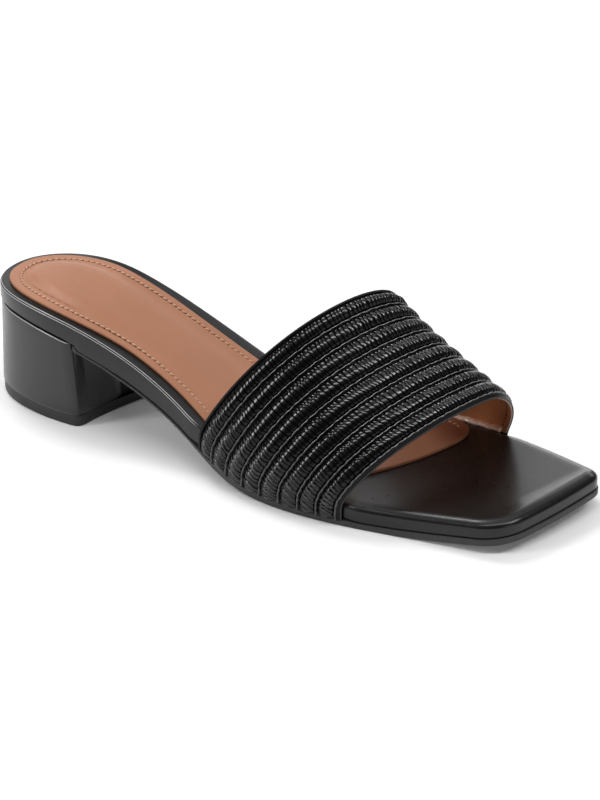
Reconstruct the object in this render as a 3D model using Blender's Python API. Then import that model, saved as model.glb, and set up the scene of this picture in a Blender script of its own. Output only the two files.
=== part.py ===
"""Right mule sandal: a ribbed vamp band over a wrapped footbed on a low block heel.

Sizes below are in millimetres and are scaled to metres when the meshes are made. While the pieces
are worked out, X runs from the back of the heel to the toe, Y is 0 on the heel's own middle and
grows towards the inner (big toe) side, and Z is 0 on the floor. The finished shoe is then moved so
that its origin lies on the floor under the middle of its bounding box.
"""
from collections import namedtuple

import bmesh
import bpy
import numpy as np

MM = 0.001
GAP = 0.3

# Footbed stations from heel to toe: half widths each side, top height and board thickness
Station = namedtuple("Station", "x lateral medial top board")
STATIONS = (
    Station(x=0, lateral=28.6, medial=28.6, top=46.7, board=6.2),
    Station(x=25, lateral=27.6, medial=28.1, top=46.5, board=7.3),
    Station(x=50, lateral=27.4, medial=26.8, top=43.0, board=8.0),
    Station(x=75, lateral=26.1, medial=27.4, top=34.3, board=7.9),
    Station(x=100, lateral=28.4, medial=29.3, top=22.8, board=7.2),
    Station(x=125, lateral=35.6, medial=33.0, top=12.6, board=7.1),
    Station(x=150, lateral=39.5, medial=40.3, top=10.0, board=7.2),
    Station(x=175, lateral=38.3, medial=45.3, top=9.6, board=7.2),
    Station(x=200, lateral=33.7, medial=44.9, top=9.9, board=7.1),
    Station(x=225, lateral=29.1, medial=38.6, top=11.7, board=6.7),
    Station(x=250, lateral=25.4, medial=29.3, top=14.3, board=6.3),
)

# Round end of the heel seat
HEEL_ROUND_LENGTH = 44.6
HEEL_ROUND_POWER = 2.2

# Plan shapes: rim left bare on each side, corner stations of the front edge, corner cuts and bow
Plan = namedtuple(
    "Plan", "rim_heel rim_lateral rim_medial front_lateral front_medial cut_lateral cut_medial bow")
FOOTBED_PLAN = Plan(rim_heel=0.0, rim_lateral=0.0, rim_medial=0.0, front_lateral=240.1,
                    front_medial=251.3, cut_lateral=10.7, cut_medial=6.3, bow=1.7)
SOCK_PLAN = Plan(rim_heel=4.4, rim_lateral=3.5, rim_medial=5.6, front_lateral=168.0,
                 front_medial=189.0, cut_lateral=9.0, cut_medial=8.0, bow=3.6)

# Edges and layers
FOOTBED_TOP_ROUND = 2.2
FOOTBED_FOOT_ROUND = 0.8
BAND_RECESS = 0.9
BAND_RECESS_RAMP = 3.0
BAND_RECESS_MARGIN = 2.0
OUTSOLE_THICKNESS = 2.5
OUTSOLE_PROUD = 0.4
OUTSOLE_ROUND = 0.5
SOCK_THICKNESS = 1.0
SOCK_ROUND = 0.4

# Heel: curve of the breast in plan, its lean, the clear run ahead of it, and the wearing piece below
BREAST_MID_X = 59.4
BREAST_SLANT = 0.26
BREAST_HOLLOW = 2.8
BREAST_HALF_WIDTH = 27.0
BREAST_LEAN = 2.5
BREAST_CLEAR = 1.0
HEEL_INSET = 0.4
HEEL_ROUND = 0.8
LIFT_HEIGHT = 4.7
LIFT_INSET = 0.9
LIFT_ROUND = 0.4

# Vamp band sections from the back edge (at 0) to the front edge (at 1)
BandRow = namedtuple("BandRow", "at lateral_x medial_x height crown lateral_power medial_power lean")
BAND_ROWS = (
    BandRow(at=0.0, lateral_x=111.0, medial_x=141.0, height=64.1, crown=0.68,
            lateral_power=1.77, medial_power=2.60, lean=26.9),
    BandRow(at=0.5, lateral_x=143.3, medial_x=168.0, height=48.8, crown=0.68,
            lateral_power=2.15, medial_power=2.07, lean=20.3),
    BandRow(at=1.0, lateral_x=177.8, medial_x=200.4, height=34.6, crown=0.68,
            lateral_power=2.04, medial_power=1.69, lean=13.8),
)
BAND_WALL = 1.8
BAND_PROUD = 1.2
BAND_RISE = 6.5
RIB_COUNT = 8
RIB_HEIGHT = 1.5
RIB_END_FADE = 0.10

# Mesh fineness: counts, the straight run before a front corner, and the angle of a hard edge
HEEL_STEPS = 10
SIDE_STEPS = 60
CORNER_STEPS = 6
EDGE_STEPS = 6
BREAST_STEPS = 8
BREAST_PASSES = 4
ROUND_STEPS = 2
RIB_STEPS = 4
BAND_ARC_STEPS = 32
SECTION_SAMPLES = 90
CORNER_LEAD = 6.0
HARD_EDGE_DEG = 40.0

# Finishes: colour, roughness
Finish = namedtuple("Finish", "colour roughness")
BLACK_LEATHER = Finish(colour=(0.012, 0.012, 0.013, 1.0), roughness=0.35)
PLEATED_LEATHER = Finish(colour=(0.010, 0.010, 0.011, 1.0), roughness=0.28)
TAN_LEATHER = Finish(colour=(0.42, 0.22, 0.13, 1.0), roughness=0.50)
BLACK_RUBBER = Finish(colour=(0.020, 0.020, 0.021, 1.0), roughness=0.60)


def natural_spline(knots, values):
    """Return a smooth function through the knots that is straight at both ends."""
    knots = np.asarray(knots, float)
    values = np.asarray(values, float)
    step = np.diff(knots)
    slope = np.diff(values) / step
    count = len(knots)
    system = np.eye(count)
    load = np.zeros(count)
    for i in range(1, count - 1):
        system[i, i - 1] = step[i - 1]
        system[i, i] = 2 * (step[i - 1] + step[i])
        system[i, i + 1] = step[i]
        load[i] = 6 * (slope[i] - slope[i - 1])
    bend = np.linalg.solve(system, load)

    def evaluate(x):
        x = np.asarray(x, float)
        i = np.clip(np.searchsorted(knots, x) - 1, 0, count - 2)
        before = (knots[i + 1] - x) / step[i]
        after = (x - knots[i]) / step[i]
        cubic = (before ** 3 - before) * bend[i] + (after ** 3 - after) * bend[i + 1]
        return before * values[i] + after * values[i + 1] + cubic * step[i] ** 2 / 6

    return evaluate


def station_spline(column):
    """Return one column of the footbed stations as a function of X."""
    return natural_spline([row.x for row in STATIONS], [getattr(row, column) for row in STATIONS])


LATERAL_WIDTH = station_spline("lateral")
MEDIAL_WIDTH = station_spline("medial")
TOP_HEIGHT = station_spline("top")
BOARD = station_spline("board")


def board_bottom(x):
    """Height of the footbed's underside."""
    return TOP_HEIGHT(x) - BOARD(x)


def under_board(x):
    """Height of what is glued under the footbed."""
    return board_bottom(x) - GAP


def sock_seat(x):
    """Height of the sock's underside."""
    return TOP_HEIGHT(x) + GAP


def tread_height(x):
    """Height of the outsole's underside, flat on the floor under the ball of the foot."""
    return np.maximum(under_board(x) - OUTSOLE_THICKNESS, 0.0)


def side_line(x, plan, side):
    """Y of a plan's lateral (side -1) or medial (side 1) line, closed round the heel's back."""
    width = LATERAL_WIDTH(x) - plan.rim_lateral
    if side > 0:
        width = MEDIAL_WIDTH(x) - plan.rim_medial
    reach = (np.asarray(x, float) - plan.rim_heel) / (HEEL_ROUND_LENGTH - plan.rim_heel)
    ahead = np.clip(1 - reach, 0, 1)
    return side * width * (1 - ahead ** HEEL_ROUND_POWER) ** (1 / HEEL_ROUND_POWER)


def bezier(start, corner, end, steps):
    """Points of a rounded corner, without its start."""
    t = np.linspace(0, 1, steps + 1)[1:, None]
    return (1 - t) ** 2 * start + 2 * t * (1 - t) * corner + t ** 2 * end


def front_chain(plan, side, start_x):
    """Points of one side from start_x round the front corner to the middle of the front edge."""
    corners = {
        -1: np.array([plan.front_lateral, side_line(plan.front_lateral, plan, -1)]),
        1: np.array([plan.front_medial, side_line(plan.front_medial, plan, 1)]),
    }
    cut = plan.cut_lateral if side < 0 else plan.cut_medial
    corner, other = corners[side], corners[-side]
    length = np.linalg.norm(other - corner)
    along = (other - corner) / length
    ahead = np.array([along[1], -along[0]]) * -side

    def edge(distance):
        share = np.atleast_1d(distance)[:, None] / length
        return corner + along * share * length + ahead * plan.bow * 4 * share * (1 - share)

    side_x = np.linspace(start_x, corner[0] - cut, CORNER_STEPS)
    side_points = np.column_stack([side_x, side_line(side_x, plan, side)])
    rounded = bezier(side_points[-1], corner, edge(cut)[0], CORNER_STEPS)
    front = edge(np.linspace(cut, length / 2, EDGE_STEPS))[1:]
    return np.concatenate([side_points[1:], rounded, front])


def plan_chains(plan, first_x=None):
    """Matching lateral and medial chains, from the heel's back (or first_x) to the front's middle.

    Points with the same index lie at the same X along the sides, so a cap can join them squarely.
    """
    shared_x = plan.front_lateral - plan.cut_lateral - CORNER_LEAD
    if first_x is None:
        turn = np.linspace(0, np.pi / 2, HEEL_STEPS + 1)[:-1]
        heel_x = plan.rim_heel + (HEEL_ROUND_LENGTH - plan.rim_heel) * (1 - np.cos(turn))
        stations = np.concatenate([heel_x, np.linspace(HEEL_ROUND_LENGTH, shared_x, SIDE_STEPS)])
    else:
        stations = np.linspace(first_x, shared_x, SIDE_STEPS)
    chains = []
    for side in (-1, 1):
        along = np.column_stack([stations, side_line(stations, plan, side)])
        chains.append(np.concatenate([along, front_chain(plan, side, shared_x)]))
    return chains


def breast_x(y, lean):
    """X of the heel's hollowed breast, moved back by the lean."""
    hollow = BREAST_HOLLOW * (1 - (np.asarray(y, float) / BREAST_HALF_WIDTH) ** 2)
    return BREAST_MID_X + BREAST_SLANT * np.asarray(y, float) - hollow - lean


def breast_chain(lean):
    """Points of the breast from the lateral corner to the medial corner, in rising X."""
    ends = []
    for side in (-1, 1):
        y = side * BREAST_HALF_WIDTH
        for _ in range(BREAST_PASSES):
            y = float(side_line(breast_x(y, lean), FOOTBED_PLAN, side))
        ends.append(y)
    y = np.linspace(ends[0], ends[1], BREAST_STEPS + 1)
    return np.column_stack([breast_x(y, lean), y])


def close_chains(first, second):
    """Join two chains that share both ends into one loop, with the solid on the loop's left."""
    return np.concatenate([first, second[1:-1][::-1]])


def inset_loop(loop, distance):
    """Move each point of a closed loop towards its inside."""
    tangent = np.roll(loop, -1, axis=0) - np.roll(loop, 1, axis=0)
    tangent /= np.linalg.norm(tangent, axis=1)[:, None]
    inward = np.column_stack([-tangent[:, 1], tangent[:, 0]])
    return loop + inward * np.asarray(distance, float).reshape(-1, 1)


def raise_loop(loop, height):
    """Give a plan loop its heights, a number or a function of X."""
    z = height(loop[:, 0]) if callable(height) else np.full(len(loop), float(height))
    return np.column_stack([loop, z])


def skin_rings(rings):
    """Close a stack of equal rings, lowest first, into a solid capped across its paired points."""
    count = len(rings[0])
    half = count // 2
    faces = []
    for level in range(len(rings) - 1):
        low, high = level * count, (level + 1) * count
        for i in range(count):
            j = (i + 1) % count
            faces.append((low + i, low + j, high + j, high + i))
    for base, upward in ((0, False), ((len(rings) - 1) * count, True)):
        for i in range(half):
            strip = [i, i + 1, (count - i - 1) % count, (count - i) % count]
            unique = list(dict.fromkeys(strip))
            if not upward:
                unique.reverse()
            faces.append(tuple(base + k for k in unique))
    return np.concatenate(rings), faces


def band_recess(loop):
    """How far the footbed's wall steps in behind the ends of the band."""
    back, front = BAND_ROWS[0], BAND_ROWS[-1]
    lateral = loop[:, 1] < 0
    start = np.where(lateral, back.lateral_x, back.medial_x) - BAND_RECESS_MARGIN
    stop = np.where(lateral, front.lateral_x, front.medial_x) + BAND_RECESS_MARGIN
    rise = np.clip((loop[:, 0] - start) / BAND_RECESS_RAMP + 1, 0, 1)
    fall = np.clip((stop - loop[:, 0]) / BAND_RECESS_RAMP + 1, 0, 1)
    return BAND_RECESS * np.minimum(rise, fall)


def footbed():
    """Board wrapped in leather, with a rounded top edge and a small round at its foot."""
    loop = close_chains(*plan_chains(FOOTBED_PLAN))
    recess = band_recess(loop)
    turn = np.linspace(0, np.pi / 2, ROUND_STEPS + 1)
    rings = [
        raise_loop(inset_loop(loop, recess + FOOTBED_FOOT_ROUND), board_bottom),
        raise_loop(inset_loop(loop, recess), lambda x: board_bottom(x) + FOOTBED_FOOT_ROUND),
    ]
    for angle in turn:
        inset = recess + FOOTBED_TOP_ROUND * (1 - np.cos(angle))
        drop = FOOTBED_TOP_ROUND * (1 - np.sin(angle))
        rings.append(raise_loop(inset_loop(loop, inset), lambda x, drop=drop: TOP_HEIGHT(x) - drop))
    return skin_rings(rings)


def insole_sock():
    """Leather sock lying on the footbed, with its front end under the band."""
    loop = close_chains(*plan_chains(SOCK_PLAN))
    rings = [
        raise_loop(loop, sock_seat),
        raise_loop(loop, lambda x: sock_seat(x) + SOCK_THICKNESS - SOCK_ROUND),
        raise_loop(inset_loop(loop, SOCK_ROUND), lambda x: sock_seat(x) + SOCK_THICKNESS),
    ]
    return skin_rings(rings)


def outsole():
    """Thin sole from the breast of the heel to the toe, following the footbed's underside."""
    breast = breast_chain(BREAST_LEAN - GAP)
    last_x = breast[-1, 0]
    front = plan_chains(FOOTBED_PLAN, first_x=last_x)
    beside = breast[:-1, 0]
    lateral_start = np.column_stack([beside, side_line(beside, FOOTBED_PLAN, -1)])
    loop = close_chains(np.concatenate([lateral_start, front[0]]),
                        np.concatenate([breast[:-1], front[1]]))
    outward = np.where(loop[:, 0] > last_x + BREAST_CLEAR, -OUTSOLE_PROUD, 0.0)
    rings = [
        raise_loop(inset_loop(loop, outward + OUTSOLE_ROUND), tread_height),
        raise_loop(inset_loop(loop, outward), lambda x: tread_height(x) + OUTSOLE_ROUND),
        raise_loop(inset_loop(loop, outward), under_board),
    ]
    return skin_rings(rings)


def heel_loop(lean):
    """Plan loop of the heel: round back, two sides and the hollowed breast."""
    breast = breast_chain(lean)
    turn = np.linspace(0, np.pi / 2, HEEL_STEPS + 1)
    stations = breast[0, 0] * (1 - np.cos(turn))
    lateral = np.column_stack([stations, side_line(stations, FOOTBED_PLAN, -1)])
    beside = np.concatenate([stations, breast[1:, 0]])
    medial = np.column_stack([beside, side_line(beside, FOOTBED_PLAN, 1)])
    medial[-1] = breast[-1]
    return close_chains(np.concatenate([lateral, breast[1:]]), medial)


def heel_block():
    """Wrapped block between the top lift and the heel seat."""
    low, high = heel_loop(0.0), heel_loop(BREAST_LEAN)
    foot = LIFT_HEIGHT + GAP
    rings = [
        raise_loop(inset_loop(low, HEEL_INSET + HEEL_ROUND / 2), foot),
        raise_loop(inset_loop(low, HEEL_INSET), foot + HEEL_ROUND / 2),
        raise_loop(inset_loop(high, HEEL_INSET), lambda x: under_board(x) - HEEL_ROUND),
        raise_loop(inset_loop(high, HEEL_INSET + HEEL_ROUND), under_board),
    ]
    return skin_rings(rings)


def heel_top_lift():
    """Wearing piece under the heel, set in a little from the block."""
    loop = heel_loop(0.0)
    rings = [
        raise_loop(inset_loop(loop, LIFT_INSET + LIFT_ROUND), 0.0),
        raise_loop(inset_loop(loop, LIFT_INSET), LIFT_ROUND),
        raise_loop(inset_loop(loop, LIFT_INSET), LIFT_HEIGHT),
    ]
    return skin_rings(rings)


def band_column(column, at):
    """Value of one band column at a place between the back and front edges."""
    fit = np.polyfit([row.at for row in BAND_ROWS], [getattr(row, column) for row in BAND_ROWS], 2)
    return np.polyval(fit, at)


def band_section(at):
    """Points of the strip level of the band, evenly spaced from its lateral to its medial end.

    Each end rises straight beside the footbed. Two quarter superellipses meet at the crown above,
    and from there up the section leans towards the toe.
    """
    lateral_x, medial_x = band_column("lateral_x", at), band_column("medial_x", at)
    start = np.array([lateral_x, -LATERAL_WIDTH(lateral_x) - BAND_PROUD, board_bottom(lateral_x)])
    end = np.array([medial_x, MEDIAL_WIDTH(medial_x) + BAND_PROUD, board_bottom(medial_x)])
    height, crown = band_column("height", at), band_column("crown", at)
    turn = np.linspace(0, np.pi / 2, SECTION_SAMPLES)
    lateral_share = 2 / band_column("lateral_power", at)
    medial_share = 2 / band_column("medial_power", at)
    down = turn[::-1][1:]
    across = np.concatenate([
        [0.0], crown * (1 - np.cos(turn) ** lateral_share),
        crown + (1 - crown) * np.cos(down) ** medial_share, [1.0]])
    arch = np.concatenate([
        [-BAND_RISE], (height - BAND_RISE) * np.sin(turn) ** lateral_share,
        (height - BAND_RISE) * np.sin(down) ** medial_share, [-BAND_RISE]]) + BAND_RISE
    points = start + (end - start) * across[:, None]
    points[:, 2] += arch
    points[:, 0] += band_column("lean", at) * np.maximum(arch - BAND_RISE, 0) / (height - BAND_RISE)
    run = np.concatenate([[0.0], np.cumsum(np.linalg.norm(np.diff(points, axis=0), axis=1))])
    even = np.linspace(0.0, run[-1], BAND_ARC_STEPS + 1)
    return np.column_stack([np.interp(even, run, points[:, axis]) for axis in range(3)])


def rib_profile(at):
    """Height of the padded ribs above the strips between them, 0 to 1."""
    place = (at * RIB_COUNT) % 1.0
    return np.sqrt(np.maximum(1 - (2 * place - 1) ** 2, 0.0))


def vamp_band():
    """Open strap over the forefoot: ribbed outside, smooth inside, one wall thick."""
    places = np.linspace(0, 1, RIB_COUNT * RIB_STEPS + 1)
    strip = np.array([band_section(at) for at in places])
    along = np.gradient(strip, axis=0)
    across = np.gradient(strip, axis=1)
    outward = np.cross(along, across)
    outward /= np.linalg.norm(outward, axis=2)[..., None]
    share = np.linspace(0, 1, BAND_ARC_STEPS + 1)
    fade = np.clip(np.minimum(share, 1 - share) / RIB_END_FADE, 0, 1)
    ribs = RIB_HEIGHT * rib_profile(places)[:, None] * fade[None, :]
    outside = strip + outward * ribs[..., None]
    inside = strip - outward * BAND_WALL
    rows, columns = len(places), BAND_ARC_STEPS + 1
    size = rows * columns
    number = np.arange(size).reshape(rows, columns)
    faces = []
    for i in range(rows - 1):
        for j in range(columns - 1):
            quad = (number[i, j], number[i + 1, j], number[i + 1, j + 1], number[i, j + 1])
            faces.append(tuple(int(k) for k in quad))
            faces.append(tuple(int(k) + size for k in reversed(quad)))
    border = np.concatenate([number[0, :-1], number[:-1, -1], number[-1, :0:-1], number[:0:-1, 0]])
    for k, following in zip(border, np.roll(border, -1)):
        faces.append((int(k), int(following), int(following) + size, int(k) + size))
    return np.concatenate([outside.reshape(-1, 3), inside.reshape(-1, 3)]), faces


def make_material(name, finish):
    """Principled material in one colour."""
    material = bpy.data.materials.new(name)
    material.use_nodes = True
    shader = material.node_tree.nodes["Principled BSDF"]
    shader.inputs["Base Color"].default_value = finish.colour
    shader.inputs["Roughness"].default_value = finish.roughness
    shader.inputs["Metallic"].default_value = 0.0
    return material


def add_object(name, points, faces, finish):
    """Make one closed, smooth-shaded object from points in millimetres."""
    build = bmesh.new()
    vertices = [build.verts.new(point) for point in points * MM]
    for face in faces:
        build.faces.new([vertices[k] for k in face])
    bmesh.ops.recalc_face_normals(build, faces=build.faces)
    mesh = bpy.data.meshes.new(name)
    build.to_mesh(mesh)
    build.free()
    mesh.shade_smooth()
    mesh.set_sharp_from_angle(angle=np.radians(HARD_EDGE_DEG))
    mesh.materials.append(make_material(name + "_finish", finish))
    piece = bpy.data.objects.new(name, mesh)
    bpy.context.scene.collection.objects.link(piece)
    return piece


def main():
    """Build the six pieces and set them on the floor round the origin."""
    for old in list(bpy.data.objects):
        bpy.data.objects.remove(old, do_unlink=True)
    pieces = (
        ("outsole", outsole(), BLACK_RUBBER),
        ("footbed", footbed(), BLACK_LEATHER),
        ("insole_sock", insole_sock(), TAN_LEATHER),
        ("heel_block", heel_block(), BLACK_LEATHER),
        ("heel_top_lift", heel_top_lift(), BLACK_RUBBER),
        ("vamp_band", vamp_band(), PLEATED_LEATHER),
    )
    everything = np.concatenate([shape[0] for _, shape, _ in pieces])
    low, high = everything.min(axis=0), everything.max(axis=0)
    origin = np.array([(low[0] + high[0]) / 2, (low[1] + high[1]) / 2, low[2]])
    for name, (points, faces), finish in pieces:
        add_object(name, points - origin, faces, finish)


main()
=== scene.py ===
"""Looks of a right mule sandal: pleated vamp band, wrapped footbed, leather sock, outsole and block heel.

Shapes are worked out in millimetres with X from the back of the heel to the toe, Y from the heel's
middle towards the inner (medial) side and Z up from the floor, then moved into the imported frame.
"""
import logging
import math
from dataclasses import dataclass, field
from enum import Enum
from typing import Callable

import bmesh
import bpy
import numpy as np
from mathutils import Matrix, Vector


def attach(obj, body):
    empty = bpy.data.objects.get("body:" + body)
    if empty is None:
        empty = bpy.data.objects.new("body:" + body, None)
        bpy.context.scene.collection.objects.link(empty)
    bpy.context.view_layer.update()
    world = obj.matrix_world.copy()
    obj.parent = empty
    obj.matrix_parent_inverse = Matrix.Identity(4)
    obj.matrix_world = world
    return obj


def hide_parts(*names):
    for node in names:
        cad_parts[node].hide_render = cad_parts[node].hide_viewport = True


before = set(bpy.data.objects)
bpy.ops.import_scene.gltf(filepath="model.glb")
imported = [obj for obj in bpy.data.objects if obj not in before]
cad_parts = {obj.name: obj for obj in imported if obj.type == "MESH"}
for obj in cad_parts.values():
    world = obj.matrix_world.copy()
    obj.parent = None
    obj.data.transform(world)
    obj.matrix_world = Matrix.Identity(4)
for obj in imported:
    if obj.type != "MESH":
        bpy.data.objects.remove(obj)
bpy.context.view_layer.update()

LOG = logging.getLogger("mule_sandal")
MM = 0.001
MARK = "mark"
MIX_COLOURS = (6, 7)
MIX_RESULT = 2
MERGE_DISTANCE = 2e-6
SLIVER_LENGTH = 1e-7
SMALLEST_LENGTH = 1e-12
SMALLEST_TURN = 1e-9
TIGHTEST_INSET = 0.8
INSET_REACH = 4
ROUND_STEPS = 5
UPRIGHT = np.array([0.0, 0.0, 1.0])
WHITE = (1.0, 1.0, 1.0, 1.0)
Array = np.ndarray
Colour = tuple[float, float, float]


class Side(Enum):
    """Side of the foot, as the sign of Y."""

    LATERAL = -1
    MEDIAL = 1


class Slot(Enum):
    """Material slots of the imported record."""

    BAND = "band_leather"
    FOOTBED = "footbed_leather"
    SOCK = "sock_leather"
    OUTSOLE = "outsole_rubber"
    HEEL = "heel_leather"
    LIFT = "lift_rubber"


def heel_back_in_frame() -> Array:
    """Find the heel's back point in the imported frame.

    Returns:
        Array: what to add to a point in millimetres to bring it into the frame.
    """
    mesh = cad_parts["footbed"].data
    corners = np.zeros(len(mesh.vertices) * 3, np.float32)
    mesh.vertices.foreach_get("co", corners)
    corners = corners.reshape(-1, 3).astype(float)
    back = corners[corners[:, 0].argmin()] / MM
    return np.array([back[0], back[1], 0.0])


FRAME_SHIFT = heel_back_in_frame()


def smoothstep(value: Array | float) -> Array:
    """Ease from 0 to 1 by 3t squared minus 2t cubed."""
    t = np.clip(value, 0.0, 1.0)
    return t * t * (3.0 - 2.0 * t)


@dataclass(frozen=True)
class Ramp:
    """Eased step from 0 at a start to 1 a run further on, or a run before it where the run is negative."""

    start: float
    run: float

    def __call__(self, value: Array | float) -> Array:
        """Height of the step at a value."""
        return smoothstep((value - self.start) / self.run)


def unit(vectors: Array) -> Array:
    """Scale each vector to length 1."""
    return vectors / np.maximum(np.linalg.norm(vectors, axis=-1, keepdims=True), SMALLEST_LENGTH)


def length_along(path: Array) -> Array:
    """Distance of each point of a path from the path's start."""
    return np.concatenate([[0.0], np.cumsum(np.linalg.norm(np.diff(path, axis=0), axis=1))])


def points_along(path: Array, run: Array, places: Array) -> Array:
    """Points of a path at distances from its start, by straight lines between its points.

    Args:
        path: the path's points.
        run: distance of each of them from the start.
        places: distances wanted.

    Returns:
        Array: a point for each distance.
    """
    return np.column_stack([np.interp(places, run, path[:, k]) for k in range(path.shape[1])])


class NaturalSpline:
    """Smooth curve through knots that is straight at both ends."""

    def __init__(self, knots: list[float], values: list[float]) -> None:
        """Solve the curve's second derivatives.

        Args:
            knots: rising places along the curve.
            values: value at each knot.
        """
        self.knots = np.asarray(knots, float)
        self.values = np.asarray(values, float)
        self.step = np.diff(self.knots)
        slope = np.diff(self.values) / self.step
        count = len(self.knots)
        inner = np.arange(1, count - 1)
        system = np.eye(count)
        system[inner, inner - 1] = self.step[:-1]
        system[inner, inner] = 2 * (self.step[:-1] + self.step[1:])
        system[inner, inner + 1] = self.step[1:]
        pull = np.zeros(count)
        pull[inner] = 6 * np.diff(slope)
        self.bend = np.linalg.solve(system, pull)

    def __call__(self, place: Array | float) -> Array:
        """Evaluate the cubic piece that each place falls in.

        Args:
            place: places along the curve.

        Returns:
            Array: values there.
        """
        x = np.asarray(place, float)
        i = np.clip(np.searchsorted(self.knots, x) - 1, 0, len(self.knots) - 2)
        before = (self.knots[i + 1] - x) / self.step[i]
        after = (x - self.knots[i]) / self.step[i]
        cubic = (before**3 - before) * self.bend[i] + (after**3 - after) * self.bend[i + 1]
        return before * self.values[i] + after * self.values[i + 1] + cubic * self.step[i] ** 2 / 6


@dataclass(frozen=True)
class Station:
    """Footbed section: place along the shoe, half widths, top height and board thickness."""

    x: float
    lateral: float
    medial: float
    top: float
    board: float


@dataclass(frozen=True)
class Plan:
    """Plan outline: rims left bare, stations of the front corners, corner cuts and bow of the front."""

    rim_heel: float = 0.0
    rim_lateral: float = 0.0
    rim_lateral_waist: float = 0.0
    rim_medial: float = 0.0
    rim_medial_waist: float = 0.0
    rim_medial_front: float = 0.0
    front_lateral: float = 240.1
    front_medial: float = 251.3
    cut_lateral: float = 10.7
    cut_medial: float = 6.3
    bow: float = 1.7


@dataclass(frozen=True)
class BandRow:
    """Band section: end stations, height, place of the crown, roundness each side and forward lean."""

    at: float
    lateral_x: float
    medial_x: float
    height: float
    crown: float
    lateral_power: float
    medial_power: float
    lean: float


STATIONS = (
    Station(x=0, lateral=28.6, medial=28.6, top=46.7, board=6.2),
    Station(x=25, lateral=27.6, medial=28.1, top=46.5, board=7.3),
    Station(x=50, lateral=27.4, medial=26.8, top=43.0, board=8.0),
    Station(x=75, lateral=26.1, medial=27.4, top=34.3, board=7.9),
    Station(x=100, lateral=28.4, medial=29.3, top=22.8, board=7.2),
    Station(x=125, lateral=35.6, medial=33.0, top=12.6, board=7.1),
    Station(x=150, lateral=39.5, medial=40.3, top=10.0, board=7.2),
    Station(x=175, lateral=38.3, medial=45.3, top=9.6, board=7.2),
    Station(x=200, lateral=33.7, medial=44.9, top=9.9, board=7.1),
    Station(x=225, lateral=29.1, medial=38.6, top=11.7, board=6.7),
    Station(x=250, lateral=25.4, medial=29.3, top=14.3, board=6.3),
)
FOOTBED_PLAN = Plan()
SOCK_PLAN = Plan(rim_heel=3.7, rim_lateral=3.6, rim_lateral_waist=5.2, rim_medial=4.8, rim_medial_waist=7.0,
                 rim_medial_front=3.4, front_lateral=160.3, front_medial=192.4, cut_lateral=6.0,
                 cut_medial=15.6, bow=7.3)
BAND_ROWS = (
    BandRow(at=0.0, lateral_x=111.0, medial_x=141.0, height=64.1, crown=0.68,
            lateral_power=1.77, medial_power=2.60, lean=26.9),
    BandRow(at=0.5, lateral_x=143.3, medial_x=168.0, height=48.8, crown=0.68,
            lateral_power=2.15, medial_power=2.07, lean=20.3),
    BandRow(at=1.0, lateral_x=177.8, medial_x=200.4, height=34.6, crown=0.68,
            lateral_power=2.04, medial_power=1.69, lean=13.8),
)


def station_spline(column: str) -> NaturalSpline:
    """Make one column of the footbed stations a function of X.

    Args:
        column: name of the column.

    Returns:
        NaturalSpline: the column along the shoe.
    """
    return NaturalSpline([row.x for row in STATIONS], [getattr(row, column) for row in STATIONS])


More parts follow.
